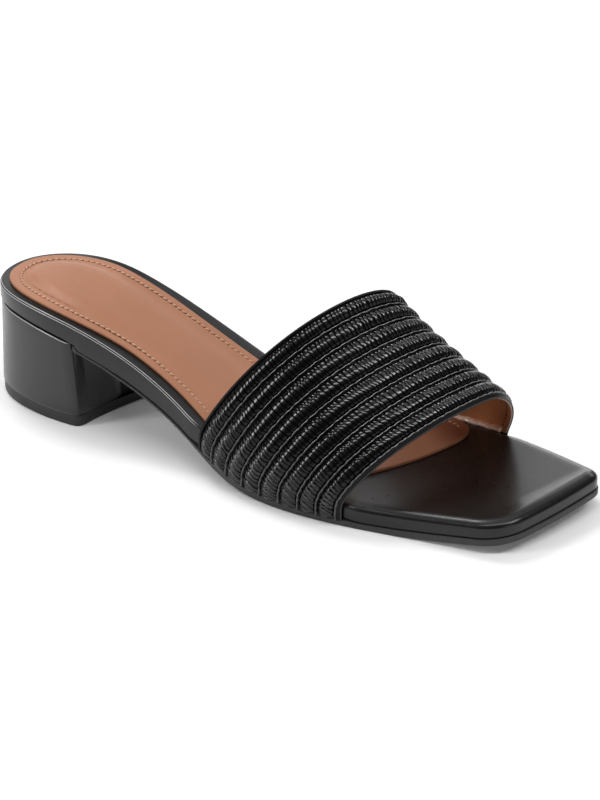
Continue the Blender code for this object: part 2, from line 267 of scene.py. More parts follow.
@dataclass
class Last:
    """Shape that the footbed, sock, outsole and heel share."""

    heel_round_length: float = 44.6
    heel_round_power: float = 2.2
    outsole_thickness: float = 2.5
    gap: float = 0.3
    waist_cover: float = 1.7
    waist_from: float = 56.4
    waist_slant: float = 0.26
    waist_rise: float = 2.4
    waist_fade: Ramp = Ramp(104.0, 22.0)
    lateral_waist_rim: Ramp = Ramp(45.0, 30.0)
    medial_waist_rim: Ramp = Ramp(30.0, 65.0)
    medial_front_rim: Ramp = Ramp(110.0, 50.0)
    heel_steps: int = 44
    side_steps: int = 260
    lead_steps: int = 10
    corner_steps: int = 28
    edge_steps: int = 30
    corner_lead: float = 6.0
    lateral: NaturalSpline = field(default_factory=lambda: station_spline("lateral"))
    medial: NaturalSpline = field(default_factory=lambda: station_spline("medial"))
    top: NaturalSpline = field(default_factory=lambda: station_spline("top"))
    board: NaturalSpline = field(default_factory=lambda: station_spline("board"))

    def bottom(self, x: Array) -> Array:
        """Height of the footbed's underside: top less board."""
        return self.top(x) - self.board(x)

    def waist(self, loop: Array) -> Array:
        """How far the footbed's wrap reaches down over the sole's edge, from the slanted breast to the band.

        Args:
            loop: points in plan.

        Returns:
            Array: reach at each point.
        """
        ahead = loop[:, 0] - self.waist_from - self.waist_slant * loop[:, 1]
        return self.waist_cover * smoothstep(ahead / self.waist_rise) * (1 - self.waist_fade(loop[:, 0]))

    def tread(self, x: Array) -> Array:
        """Height of the outsole's underside, never below the floor."""
        return np.maximum(self.bottom(x) - self.gap - self.outsole_thickness, 0.0)

    def side_line(self, x: Array | float, plan: Plan, side: Side) -> Array:
        """Y of one side of a plan, closed round the heel by a superellipse.

        Args:
            x: places along the shoe.
            plan: the outline.
            side: which side.

        Returns:
            Array: Y at each place.
        """
        x = np.asarray(x, float)
        rim = plan.rim_lateral + (plan.rim_lateral_waist - plan.rim_lateral) * self.lateral_waist_rim(x)
        width = self.lateral(x) - rim
        if side is Side.MEDIAL:
            rim = plan.rim_medial + (plan.rim_medial_waist - plan.rim_medial) * self.medial_waist_rim(x)
            width = self.medial(x) - rim - (plan.rim_medial_front - rim) * self.medial_front_rim(x)
        reach = (x - plan.rim_heel) / (self.heel_round_length - plan.rim_heel)
        ahead = np.clip(1 - reach, 0, 1)
        power = self.heel_round_power
        return side.value * width * (1 - ahead**power) ** (1 / power)

    def front_chain(self, plan: Plan, side: Side, start_x: float) -> Array:
        """Points from start_x along one side, round the front corner, to the middle of the front.

        The corner is a quadratic Bezier curve and the front edge a shallow parabola.

        Args:
            plan: the outline.
            side: which side.
            start_x: where the chain takes over from the even stations.

        Returns:
            Array: points in plan, without the first.
        """
        lateral = np.array([plan.front_lateral, self.side_line(plan.front_lateral, plan, Side.LATERAL)])
        medial = np.array([plan.front_medial, self.side_line(plan.front_medial, plan, Side.MEDIAL)])
        corner, other, cut = lateral, medial, plan.cut_lateral
        if side is Side.MEDIAL:
            corner, other, cut = medial, lateral, plan.cut_medial
        length = float(np.linalg.norm(other - corner))
        along = (other - corner) / length
        ahead = np.array([along[1], -along[0]]) * -side.value

        def edge(distance: Array) -> Array:
            """Points of the front edge at distances from the corner."""
            share = np.atleast_1d(distance)[:, None] / length
            return corner + along * share * length + ahead * plan.bow * 4 * share * (1 - share)

        side_x = np.linspace(start_x, corner[0] - cut, self.lead_steps)
        side_points = np.column_stack([side_x, self.side_line(side_x, plan, side)])
        t = np.linspace(0, 1, self.corner_steps + 1)[1:, None]
        start, end = side_points[-1], edge(np.array([cut]))[0]
        rounded = (1 - t) ** 2 * start + 2 * t * (1 - t) * corner + t**2 * end
        front = edge(np.linspace(cut, length / 2, self.edge_steps))[1:]
        return np.concatenate([side_points[1:], rounded, front])

    def chains(self, plan: Plan, first_x: float | None = None) -> tuple[Array, Array]:
        """Matching lateral and medial chains from the heel's back, or first_x, to the front's middle.

        Args:
            plan: the outline.
            first_x: start of an outline that has no heel end.

        Returns:
            tuple[Array, Array]: the two chains, with equal counts.
        """
        shared_x = plan.front_lateral - plan.cut_lateral - self.corner_lead
        if first_x is None:
            turn = np.linspace(0, np.pi / 2, self.heel_steps + 1)[:-1]
            heel_x = plan.rim_heel + (self.heel_round_length - plan.rim_heel) * (1 - np.cos(turn))
            even = np.linspace(self.heel_round_length, shared_x, self.side_steps)
            stations = np.concatenate([heel_x, even])
        else:
            stations = np.linspace(first_x, shared_x, self.side_steps)
        found = []
        for side in Side:
            along = np.column_stack([stations, self.side_line(stations, plan, side)])
            found.append(np.concatenate([along, self.front_chain(plan, side, shared_x)]))
        return found[0], found[1]


def close_chains(first: Array, second: Array) -> Array:
    """Join two chains that share both ends into one loop, with the solid on the loop's left."""
    return np.concatenate([first, second[1:-1][::-1]])


def soften(values: Array, reach: int, rounds: int = 1) -> Array:
    """Average each entry of a closed loop with its neighbours.

    Args:
        values: numbers or points round the loop.
        reach: neighbours used on each side.
        rounds: times the average is taken.

    Returns:
        Array: the softened loop.
    """
    for _ in range(rounds):
        values = sum(np.roll(values, shift, axis=0) for shift in range(-reach, reach + 1)) / (2 * reach + 1)
    return values


def inset_loop(loop: Array, distance: Array | float) -> Array:
    """Move a closed plan loop inwards, less than its own radius where it turns tightly.

    The turning radius is the cube of the first difference over its cross product with the second.

    Args:
        loop: points in plan.
        distance: how far each moves.

    Returns:
        Array: the moved loop.
    """
    first = (np.roll(loop, -1, axis=0) - np.roll(loop, 1, axis=0)) / 2
    second = np.roll(loop, -1, axis=0) - 2 * loop + np.roll(loop, 1, axis=0)
    turning = first[:, 0] * second[:, 1] - first[:, 1] * second[:, 0]
    radius = np.linalg.norm(first, axis=1) ** 3 / np.maximum(turning, SMALLEST_TURN)
    wanted = np.broadcast_to(np.asarray(distance, float), (len(loop),))
    allowed = np.minimum(wanted, np.maximum(TIGHTEST_INSET * radius, 0.0))
    allowed = soften(np.where(wanted > 0, allowed, wanted), INSET_REACH)
    inward = unit(np.column_stack([-first[:, 1], first[:, 0]]))
    return loop + inward * allowed[:, None]


def raise_loop(loop: Array, height: Array | float) -> Array:
    """Give a plan loop its heights."""
    return np.column_stack([loop, np.broadcast_to(height, (len(loop),))])


def round_foot(loop: Array, inset: Array | float, level: Array | float, radius: float,
               steps: int = ROUND_STEPS) -> list[Array]:
    """Rings of a rounded lower edge: a quarter circle from the underside out to the wall.

    Args:
        loop: points in plan.
        inset: how far the wall lies inside the loop.
        level: height of the underside.
        radius: radius of the quarter circle.
        steps: number of rings.

    Returns:
        list[Array]: the rings, lowest first.
    """
    return [raise_loop(inset_loop(loop, inset + radius * (1 - np.sin(turn))),
                       level + radius * (1 - np.cos(turn))) for turn in np.linspace(0, np.pi / 2, steps)]


def round_top(loop: Array, inset: Array | float, level: Array | float, radius: float,
              steps: int = ROUND_STEPS) -> list[Array]:
    """Rings of a rounded upper edge: a quarter circle from the wall in to the top.

    Args:
        loop: points in plan.
        inset: how far the wall lies inside the loop.
        level: height of the top.
        radius: radius of the quarter circle.
        steps: number of rings.

    Returns:
        list[Array]: the rings, lowest first.
    """
    return [raise_loop(inset_loop(loop, inset + radius * (1 - np.cos(turn))),
                       level - radius * (1 - np.sin(turn))) for turn in np.linspace(0, np.pi / 2, steps)]


def grid_quads(rows: int, columns: int, first: int = 0) -> Array:
    """Number the quads of a grid of points.

    Args:
        rows: points along the first parameter.
        columns: points along the second parameter.
        first: number of the grid's first point.

    Returns:
        Array: four point numbers per quad.
    """
    number = first + np.arange(rows * columns).reshape(rows, columns)
    quads = np.stack([number[:-1, :-1], number[1:, :-1], number[1:, 1:], number[:-1, 1:]], axis=-1)
    return quads.reshape(-1, 4)


def ring_walls(levels: int, count: int) -> Array:
    """Number the quads between each ring of a stack and the next.

    Args:
        levels: rings in the stack.
        count: points in each closed ring.

    Returns:
        Array: four point numbers per quad.
    """
    number = np.arange(levels * count).reshape(levels, count)
    following = np.roll(number, -1, axis=1)
    return np.stack([number[:-1], following[:-1], following[1:], number[1:]], axis=-1).reshape(-1, 4)


@dataclass
class Shape:
    """Points in millimetres with quads, and an optional number per point for the finish."""

    points: Array
    quads: Array
    marks: Array | None = None

    def __add__(self, other: "Shape") -> "Shape":
        """Put two shapes into one.

        Args:
            other: the shape to add.

        Returns:
            Shape: both shapes, with marks where both have them.
        """
        marks = None
        if self.marks is not None and other.marks is not None:
            marks = np.concatenate([self.marks, other.marks])
        points = np.concatenate([self.points, other.points])
        return Shape(points, np.concatenate([self.quads, other.quads + len(self.points)]), marks)


def sheet_shape(grid: Array, marks: Array | None = None) -> Shape:
    """Turn a grid of points into an open sheet."""
    rows, columns = grid.shape[:2]
    return Shape(grid.reshape(-1, 3), grid_quads(rows, columns), None if marks is None else marks.ravel())


def shell_shape(outside: Array, inside: Array) -> Shape:
    """Close two facing grids into one solid by a strip round their border.

    Args:
        outside: grid of the outer face.
        inside: grid of the inner face, of the same size.

    Returns:
        Shape: the closed shell.
    """
    rows, columns = outside.shape[:2]
    size = rows * columns
    number = np.arange(size).reshape(rows, columns)
    border = np.concatenate([number[0, :-1], number[:-1, -1], number[-1, :0:-1], number[:0:-1, 0]])
    following = np.roll(border, -1)
    rim = np.column_stack([border, following, following + size, border + size])
    quads = np.concatenate([grid_quads(rows, columns), grid_quads(rows, columns, size)[:, ::-1], rim])
    return Shape(np.concatenate([outside.reshape(-1, 3), inside.reshape(-1, 3)]), quads)


def ring_shape(rings: Array, across: int, lift: Callable[[Array], Array] | None = None,
               marks: Array | None = None) -> Shape:
    """Close a stack of equal rings, lowest first, with ruled caps between paired points.

    Args:
        rings: levels by points by three.
        across: steps of a cap from the lateral to the medial side.
        lift: extra height of the upper cap from its points.
        marks: number per ring point for the finish.

    Returns:
        Shape: the closed solid.
    """
    levels, count = rings.shape[:2]
    half = count // 2
    share = np.linspace(0, 1, across + 1)[None, :, None]
    solid = Shape(rings.reshape(-1, 3), ring_walls(levels, count), None if marks is None else marks.ravel())
    for level, upward in ((0, False), (levels - 1, True)):
        ring = rings[level]
        lateral, medial = ring[: half + 1, None], ring[-np.arange(half + 1) % count, None]
        cap = lateral * (1 - share) + medial * share
        if upward and lift is not None:
            cap[..., 2] += lift(cap)
        face = sheet_shape(cap, None if marks is None else np.zeros(cap.shape[:2]))
        if not upward:
            face.quads = face.quads[:, ::-1]
        solid = solid + face
    return solid


def sweep_shape(path: Array, out: Array, up: Array, profile: Array, marks: Array | None = None) -> Shape:
    """Carry a closed profile along a path and close both ends.

    Args:
        path: points along the path.
        out: unit vectors for the profile's first coordinate.
        up: unit vectors for the profile's second coordinate.
        profile: closed loop of pairs, or one loop per path point.
        marks: number per path point and profile point for the finish.

    Returns:
        Shape: the closed tube.
    """
    loops = np.broadcast_to(profile, (len(path),) + profile.shape[-2:])
    rings = path[:, None] + out[:, None] * loops[..., :1] + up[:, None] * loops[..., 1:]
    walls = ring_walls(*rings.shape[:2])
    tube = Shape(rings.reshape(-1, 3), walls, None if marks is None else marks.ravel())
    for ring in (rings[0], rings[-1]):
        fan = np.stack([ring, np.broadcast_to(ring.mean(axis=0), ring.shape)])
        fan = np.concatenate([fan, fan[:, :1]], axis=1)
        tube = tube + sheet_shape(fan, None if marks is None else np.zeros(fan.shape[:2]))
    return tube


def scatter_shape(template: Shape, centre: Array, along: Array, aside: Array, up: Array) -> Shape:
    """Place one small shape at many spots, each with its own axes.

    Args:
        template: the small shape.
        centre: spots.
        along: unit vectors for the template's X.
        aside: unit vectors for the template's Y.
        up: unit vectors for the template's Z.

    Returns:
        Shape: all copies in one.
    """
    axes = np.stack([along, aside, up], axis=1)
    points = centre[:, None] + np.einsum("pk,nkj->npj", template.points, axes)
    shift = np.arange(len(centre))[:, None, None] * len(template.points)
    return Shape(points.reshape(-1, 3), (template.quads[None] + shift).reshape(-1, 4))


def bead_template(size: tuple[float, float, float], rows: int = 6, columns: int = 8,
                  blunt: float = 0.7) -> Shape:
    """Make a small bead: a sphere with blunt ends, stretched to a length, width and height.

    Args:
        size: length along X, width along Y and height along Z.
        rows: steps from end to end.
        columns: steps round the bead.
        blunt: power of the sine that gives the bead's girth.

    Returns:
        Shape: the bead round the origin.
    """
    length, width, height = size
    turn = np.linspace(0, np.pi, rows + 1)[:, None]
    spin = np.linspace(0, 2 * np.pi, columns + 1)[None, :]
    girth = np.sin(turn) ** blunt
    grid = np.stack([
        -np.cos(turn) * length / 2 + 0 * spin,
        girth * np.cos(spin) * width / 2,
        girth * np.sin(spin) * height / 2,
    ], axis=-1)
    return sheet_shape(grid)


class NodeBench:
    """Short ways to add and join shader nodes of one material."""

    def __init__(self, name: str) -> None:
        """Start a material with its shader.

        Args:
            name: the material's name.
        """
        self.material = bpy.data.materials.new(name)
        self.material.use_nodes = True
        self.tree = self.material.node_tree
        self.shader = self.tree.nodes["Principled BSDF"]
        self.coordinates = self.tree.nodes.new("ShaderNodeTexCoord").outputs["Object"]

    def join(self, source: bpy.types.NodeSocket, target: bpy.types.NodeSocket) -> None:
        """Link two sockets."""
        self.tree.links.new(source, target)

    def noise(self, size_mm: float, detail: float = 3.0, rough: float = 0.5) -> bpy.types.NodeSocket:
        """Add noise whose lumps have about the given size.

        Args:
            size_mm: size of the lumps in millimetres.
            detail: octaves.
            rough: weight of the finer octaves.

        Returns:
            bpy.types.NodeSocket: the noise's factor.
        """
        node = self.tree.nodes.new("ShaderNodeTexNoise")
        node.inputs["Scale"].default_value = 1.0 / (size_mm * MM)
        node.inputs["Detail"].default_value = detail
        node.inputs["Roughness"].default_value = rough
        self.join(self.coordinates, node.inputs["Vector"])
        return node.outputs["Fac"]

    def cells(self, size_mm: float) -> bpy.types.NodeSocket:
        """Add cells whose walls show as creases, for leather grain.

        Args:
            size_mm: size of a cell in millimetres.

        Returns:
            bpy.types.NodeSocket: distance to the nearest cell wall.
        """
        node = self.tree.nodes.new("ShaderNodeTexVoronoi")
        node.feature = "DISTANCE_TO_EDGE"
        node.inputs["Scale"].default_value = 1.0 / (size_mm * MM)
        self.join(self.coordinates, node.inputs["Vector"])
        return node.outputs["Distance"]

    def marks(self) -> bpy.types.NodeSocket:
        """Read the marks stored on the mesh's points.

        Returns:
            bpy.types.NodeSocket: the marks.
        """
        node = self.tree.nodes.new("ShaderNodeAttribute")
        node.attribute_name = MARK
        return node.outputs["Fac"]

    def spread(self, factor: bpy.types.NodeSocket, low: float, high: float,
               start: float = 0.3, stop: float = 0.7) -> bpy.types.NodeSocket:
        """Map a factor to a range of numbers.

        Args:
            factor: socket to read.
            low: result at the start.
            high: result at the stop.
            start: factor that gives low.
            stop: factor that gives high.

        Returns:
            bpy.types.NodeSocket: the mapped number.
        """
        node = self.tree.nodes.new("ShaderNodeMapRange")
        node.inputs["From Min"].default_value = start
        node.inputs["From Max"].default_value = stop
        node.inputs["To Min"].default_value = low
        node.inputs["To Max"].default_value = high
        self.join(factor, node.inputs["Value"])
        return node.outputs["Result"]

    def blend(self, factor: bpy.types.NodeSocket, first: Colour | bpy.types.NodeSocket,
              second: Colour | bpy.types.NodeSocket) -> bpy.types.NodeSocket:
        """Mix two colours, fixed or from sockets, by a factor.

        Args:
            factor: share of the second colour.
            first: colour at 0.
            second: colour at 1.

        Returns:
            bpy.types.NodeSocket: the mixed colour.
        """
        node = self.tree.nodes.new("ShaderNodeMix")
        node.data_type = "RGBA"
        self.join(factor, node.inputs["Factor"])
        for value, number in zip((first, second), MIX_COLOURS):
            socket = node.inputs[number]
            if isinstance(value, bpy.types.NodeSocket):
                self.join(value, socket)
            else:
                socket.default_value = (*value, 1.0)
        return node.outputs[MIX_RESULT]

    def bump(self, height: bpy.types.NodeSocket, depth_mm: float, strength: float,
             before: bpy.types.NodeSocket | None = None) -> bpy.types.NodeSocket:
        """Add relief from a height.

        Args:
            height: socket with the height.
            depth_mm: height of a full step in millimetres.
            strength: share of the effect.
            before: normal to build on.

        Returns:
            bpy.types.NodeSocket: the bumped normal.
        """
        node = self.tree.nodes.new("ShaderNodeBump")
        node.inputs["Distance"].default_value = depth_mm * MM
        node.inputs["Strength"].default_value = strength
        self.join(height, node.inputs["Height"])
        if before is not None:
            self.join(before, node.inputs["Normal"])
        return node.outputs["Normal"]


@dataclass(frozen=True)
class Leather:
    """Leather finish: two mottled colours, gloss, grain and an optional colour for marked points."""

    name: str
    colour: Colour
    mottle: Colour
    roughness: float
    roughness_spread: float
    grain_mm: float
    grain_depth: float
    pore_depth: float = 0.02
    specular: float = 0.5
    coat: float = 0.0
    coat_roughness: float = 0.2
    mottle_mm: float = 18.0
    gloss_per_mottle: float = 6.0
    pores_per_grain: float = 2.0
    relief: float = 0.5
    marked: Colour | None = None
    painted_shade_marks: bool = False
    shaded_specular: float = 0.02

    def material(self) -> bpy.types.Material:
        """Build the finish.

        Returns:
            bpy.types.Material: leather with mottled colour, cell grain, fine pores and uneven gloss.
        """
        bench = NodeBench(self.name)
        inputs = bench.shader.inputs
        colour = bench.blend(bench.spread(bench.noise(self.mottle_mm), 0.0, 1.0), self.colour, self.mottle)
        if self.marked is not None:
            colour = bench.blend(bench.marks(), colour, self.marked)
        bench.join(colour, inputs["Base Color"])
        uneven = bench.noise(self.mottle_mm / self.gloss_per_mottle)
        bench.join(bench.spread(uneven, self.roughness - self.roughness_spread,
                                self.roughness + self.roughness_spread), inputs["Roughness"])
        grain = bench.bump(bench.cells(self.grain_mm), self.grain_depth, self.relief)
        pores = bench.noise(self.grain_mm / self.pores_per_grain)
        bench.join(bench.bump(pores, self.pore_depth, self.relief, grain), inputs["Normal"])
        inputs["Specular IOR Level"].default_value = self.specular
        inputs["Coat Weight"].default_value = self.coat
        inputs["Coat Roughness"].default_value = self.coat_roughness
        # Here the marks also paint shade by lowering specular and coat.
        if self.painted_shade_marks:
            marks = bench.marks()
            painted_shade_specular = bench.spread(marks, self.specular, self.shaded_specular, 0.0, 1.0)
            bench.join(painted_shade_specular, inputs["Specular IOR Level"])
            bench.join(bench.spread(marks, self.coat, 0.0, 0.0, 1.0), inputs["Coat Weight"])
        return bench.material


@dataclass(frozen=True)
class Rubber:
    """Matte rubber with a sanded edge: fine speckle and faint scuffs."""

    name: str
    colour: Colour
    scuff: Colour
    roughness: float
    roughness_spread: float = 0.08
    gloss_mm: float = 3.0
    specular: float = 0.4
    scuff_mm: float = 6.0
    scuff_detail: float = 6.0
    scuff_rough: float = 0.7
    scuff_range: tuple[float, float] = (0.45, 0.75)
    speckle_mm: float = 0.5
    speckle_depth: float = 0.04
    relief: float = 0.6

    def material(self) -> bpy.types.Material:
        """Build the finish.

        Returns:
            bpy.types.Material: rubber with scuffed colour and speckled relief.
        """
        bench = NodeBench(self.name)
        inputs = bench.shader.inputs
        wear_and_highlight = bench.noise(self.scuff_mm, self.scuff_detail, self.scuff_rough)
        scuffs = bench.spread(wear_and_highlight, 0.0, 1.0, *self.scuff_range)
        bench.join(bench.blend(scuffs, self.colour, self.scuff), inputs["Base Color"])
        bench.join(bench.spread(bench.noise(self.gloss_mm), self.roughness - self.roughness_spread,
                                self.roughness + self.roughness_spread), inputs["Roughness"])
        speckle = bench.bump(bench.noise(self.speckle_mm), self.speckle_depth, self.relief)
        bench.join(speckle, inputs["Normal"])
        inputs["Specular IOR Level"].default_value = self.specular
        return bench.material


@dataclass(frozen=True)
class Thread:
    """Sewing thread: one colour with fibre speckle."""

    name: str
    colour: Colour
    shade: Colour
    roughness: float = 0.6
    fibre_mm: float = 0.25
    fibre_detail: float = 2.0
    fibre_depth: float = 0.05
    relief: float = 0.6

    def material(self) -> bpy.types.Material:
        """Build the finish.

        Returns:
            bpy.types.Material: thread with speckled colour and relief.
        """
        bench = NodeBench(self.name)
        fibres = bench.noise(self.fibre_mm, self.fibre_detail)
        bench.join(bench.blend(fibres, self.shade, self.colour), bench.shader.inputs["Base Color"])
        bench.join(bench.bump(fibres, self.fibre_depth, self.relief), bench.shader.inputs["Normal"])
        bench.shader.inputs["Roughness"].default_value = self.roughness
        return bench.material


# Marked points of the pleated leather get a darker colour and less gloss: painted shade in valleys and on
# flanks.
PLEATED_BLACK = Leather("pleated_black_leather", (0.0050, 0.0052, 0.0055), (0.008, 0.008, 0.0085), 0.20, 0.04,
                        0.5, 0.010, pore_depth=0.006, specular=0.5, coat=0.6, coat_roughness=0.10,
                        marked=(0.0015, 0.0015, 0.0015), painted_shade_marks=True)
# The piping's pale marked colour is a painted highlight.
PIPING_BLACK = Leather("piping_black_leather", (0.012, 0.012, 0.0125), (0.016, 0.016, 0.0165), 0.30, 0.05,
                       0.5, 0.02, coat=0.2, coat_roughness=0.2, marked=(0.66, 0.66, 0.665))
# The binding's marked colour is a painted highlight on its lip.
BINDING_BLACK = Leather("binding_black_leather", (0.004, 0.004, 0.0045), (0.006, 0.006, 0.0065), 0.45, 0.05,
                        0.6, 0.01, specular=0.2, marked=(0.08, 0.08, 0.082))
# The wrap's pale marked colour paints highlights on the rim's lips and a sheen on the toe.
WRAP_BLACK = Leather("footbed_black_leather", (0.0045, 0.0044, 0.0044), (0.0065, 0.0063, 0.0063), 0.30, 0.03,
                     3.0, 0.0, pore_depth=0.012, specular=0.31, coat=0.22, coat_roughness=0.13,
                     marked=(0.58, 0.58, 0.585))
# The heel's pale marked colour is a painted highlight along its top and foot edges.
HEEL_BLACK = Leather("heel_black_leather", (0.012, 0.012, 0.013), (0.0135, 0.0135, 0.0145), 0.30, 0.03,
                     0.8, 0.006, pore_depth=0.004, specular=0.42, coat=0.2, coat_roughness=0.2,
                     marked=(0.5, 0.5, 0.505))
SOCK_TAN = Leather("sock_tan_leather", (0.395, 0.173, 0.095), (0.362, 0.157, 0.084), 0.50, 0.05,
                   0.45, 0.02, pore_depth=0.02, specular=0.3, marked=(0.20, 0.075, 0.04))
# The lining's dark base colour is painted shade deep inside the band; its lighter marked colour is painted
# light at the front.
LINING_TAN = Leather("lining_tan_leather", (0.30, 0.12, 0.052), (0.26, 0.10, 0.043), 0.45, 0.05,
                     0.6, 0.03, specular=0.3, marked=(0.62, 0.25, 0.105))
# Tan leather lightened almost to white: a painted highlight on the lining's folds and edge.
HIGHLIT_TAN = Leather("highlit_fold_tan_leather", (0.94, 0.68, 0.55), (0.80, 0.50, 0.36), 0.25, 0.05,
                   0.6, 0.03, specular=0.7, coat=0.5, coat_roughness=0.12)
OUTSOLE_RUBBER = Rubber("outsole_black_rubber", (0.030, 0.030, 0.031), (0.042, 0.042, 0.043), 0.45)
LIFT_RUBBER = Rubber("lift_black_rubber", (0.018, 0.018, 0.019), (0.026, 0.026, 0.027), 0.45)
TAN_THREAD = Thread("tan_thread", (0.66, 0.40, 0.26), (0.50, 0.27, 0.16))
NEEDLE_HOLE = Thread("needle_hole_shade", (0.03, 0.010, 0.006), (0.014, 0.005, 0.003), 0.9)


def place(name: str, shape: Shape, finish: Leather | Rubber | Thread, slot: Slot,
          stands_for: str | None = None, merge: bool = True) -> bpy.types.Object:
    """Put a shape into the scene as a piece on the shoe's one body.

    Args:
        name: the piece's name.
        shape: points in millimetres and quads.
        finish: what the piece is made of.
        slot: the record's material slot; not used.
        stands_for: CAD node that the piece replaces.
        merge: whether doubled points are joined.

    Returns:
        bpy.types.Object: the piece.
    """
    points = (shape.points + FRAME_SHIFT) * MM
    quads = shape.quads.astype(np.int32)
    mesh = bpy.data.meshes.new(name)
    mesh.vertices.add(len(points))
    mesh.vertices.foreach_set("co", points.astype(np.float32).ravel())
    mesh.loops.add(quads.size)
    mesh.loops.foreach_set("vertex_index", quads.ravel())
    mesh.polygons.add(len(quads))
    mesh.polygons.foreach_set("loop_start", np.arange(0, quads.size, 4, dtype=np.int32))
    mesh.update(calc_edges=True)
    if shape.marks is not None:
        mark = mesh.attributes.new(MARK, "FLOAT", "POINT")
        mark.data.foreach_set("value", shape.marks.astype(np.float32))
    if merge:
        work = bmesh.new()
        work.from_mesh(mesh)
        bmesh.ops.remove_doubles(work, verts=work.verts, dist=MERGE_DISTANCE)
        bmesh.ops.dissolve_degenerate(work, edges=work.edges, dist=SLIVER_LENGTH)
        bmesh.ops.recalc_face_normals(work, faces=work.faces)
        work.to_mesh(mesh)
        work.free()
    mesh.validate()
    mesh.shade_smooth()
    mesh.materials.append(bpy.data.materials.get(finish.name) or finish.material())
    piece = bpy.data.objects.new(name, mesh)
    bpy.context.scene.collection.objects.link(piece)
    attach(piece, "root")
    if stands_for is not None:
        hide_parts(stands_for)
    LOG.info("%s: %d faces", name, len(mesh.polygons))
    return piece


def across_rib(turn: Array) -> Array:
    """Share across a rib, from 0 at its back to 1, at angles from 0 to pi round its section."""
    return (1 - np.cos(turn)) / 2


@dataclass(frozen=True)
class Pleats:
    """Fine pleats across a rib: widths, slants, depths and dull places.

    Ramps along the rib go by its share from the lateral end, and ramps across it by the share from its back.
    """

    pitch: float = 1.72
    end_pitch: float = 1.6
    end_run: float = 70.0
    width_spread: float = 0.33
    border_steps: int = 2000
    slant: float = 0.7
    end_slant: float = 0.8
    slant_run: float = 50.0
    back_tilt: float = 2.4
    front_tilt: float = 3.2
    bow: float = 0.35
    depth: float = 0.56
    depth_range: tuple[float, float] = (0.7, 1.2)
    skew_range: tuple[float, float] = (0.85, 1.2)
    faint_limit: float = 1.3
    faint_range: float = 0.6
    faint_drop: float = 0.05
    faint_end_drop: float = 0.12
    faint_shade: float = 0.55
    crest_power: float = 0.5
    taut_power: float = 0.16
    taut_start: Ramp = Ramp(0.09, 0.06)
    taut_stop: Ramp = Ramp(0.42, 0.12)
    taut_across: Ramp = Ramp(0.15, 0.25)
    calm: float = 0.78
    puff: float = 0.07
    uneven: float = 0.2
    shade_gain: float = 2.6
    taut_gain: float = 2.0
    shade_offset: float = 0.35
    flank_shade: float = 0.75
    back_flank_shade: Ramp = Ramp(0.36, -0.16)
    front_flank_shade: Ramp = Ramp(0.56, 0.12)
    front_shift: float = 0.12
    front_shift_along: Ramp = Ramp(0.32, 0.1)
    end_gloss: float = 0.6
    gloss_run: float = 24.0

    def borders(self, length: float, random: np.random.Generator) -> Array:
        """Distances along a rib where one pleat ends and the next starts, closer at the rib's ends.

        Args:
            length: length of the rib.
            random: source of the uneven widths.

        Returns:
            Array: rising distances from 0 to the length.
        """
        run = np.linspace(0, length, self.border_steps)
        inside = smoothstep(np.minimum(run, length - run) / self.end_run)
        pitch = self.end_pitch + (self.pitch - self.end_pitch) * inside
        turns = np.concatenate([[0.0], np.cumsum(np.diff(run) / pitch[1:])])
        count = int(turns[-1])
        even = np.interp(np.linspace(0, turns[-1], count + 1), turns, run)
        widths = np.diff(even) * (1 + self.width_spread * random.uniform(-1, 1, count))
        return np.concatenate([[0.0], np.cumsum(widths)]) * length / widths.sum()

    def relief(self, borders: Array, run: Array, turn: Array,
               random: np.random.Generator) -> tuple[Array, Array]:
        """Depth and painted shade of the pleats over a rib's grid.

        A pleat is the power of a sine along the rib, with a width, depth and slant of its own, so crests
        are broad and valleys sharp. Every second pleat is lower, with painted shade. Pleats slant near the
        rib's lateral end, and the leather is taut where the rib bends most. The crest keeps its gloss, and
        the valleys and flanks have painted shade: a darker colour and less gloss.

        Args:
            borders: distances along the rib between the pleats.
            run: distances along the rib of the grid's points.
            turn: angles round the rib's section of the grid's points.
            random: source of the uneven pleats.

        Returns:
            tuple[Array, Array]: depth under the smooth rib, and painted shade from 0 to 1.
        """
        count = len(borders) - 1
        place, share = across_rib(turn), run / run[-1]
        near_end = 1 - smoothstep(run / self.slant_run)
        slants = np.interp(run, borders[:-1], random.uniform(-1, 1, count))
        tilt = slants * (self.slant + self.end_slant * near_end)
        tilt = tilt + (self.back_tilt + self.front_tilt * (place > 0.5)) * near_end
        shift = tilt * (place - 0.5) + self.bow * np.sin(turn) ** 2
        phase = np.interp(run + shift, borders, np.arange(count + 1))
        own = np.clip(np.floor(phase), 0, count - 1).astype(int)
        depths = random.uniform(*self.depth_range, count)
        depth = depths[own] * self.depth
        faint = ((np.arange(count) % 2) * (self.faint_limit - depths) / self.faint_range)[own]
        skew = random.uniform(*self.skew_range, count)[own]
        taut = self.taut_start(share) * (1 - self.taut_stop(share))
        wave = np.maximum(np.sin(np.pi * np.clip(phase - own, 0, 1) ** skew), 0.0)
        crest = wave ** (self.crest_power - self.taut_power * taut)
        puff = random.uniform(-self.puff, self.puff, count)[own] * crest
        uneven = 1 - self.uneven + self.uneven * np.cos(2 * turn + random.uniform(0, 2 * np.pi, count)[own])
        calm = 1 - self.calm * taut * self.taut_across(place)
        lowered = (self.faint_drop + self.faint_end_drop * near_end) * faint * crest
        valley = ((1 - crest) * depth * uneven - puff) * calm + lowered
        # Painted shade on the rib's back and front flanks, less of it near the lateral end.
        back = self.back_flank_shade(place) * (1 - self.taut_stop(share))
        front = self.front_flank_shade(place - self.front_shift * self.front_shift_along(share))
        front = front * (1 - self.end_gloss + self.end_gloss * smoothstep(run / self.gloss_run))
        shade = smoothstep((1 - crest) * (self.shade_gain + self.taut_gain * taut) - self.shade_offset)
        shade = np.maximum(shade, self.faint_shade * faint)
        return valley, np.maximum(shade, self.flank_shade * np.maximum(back, front))


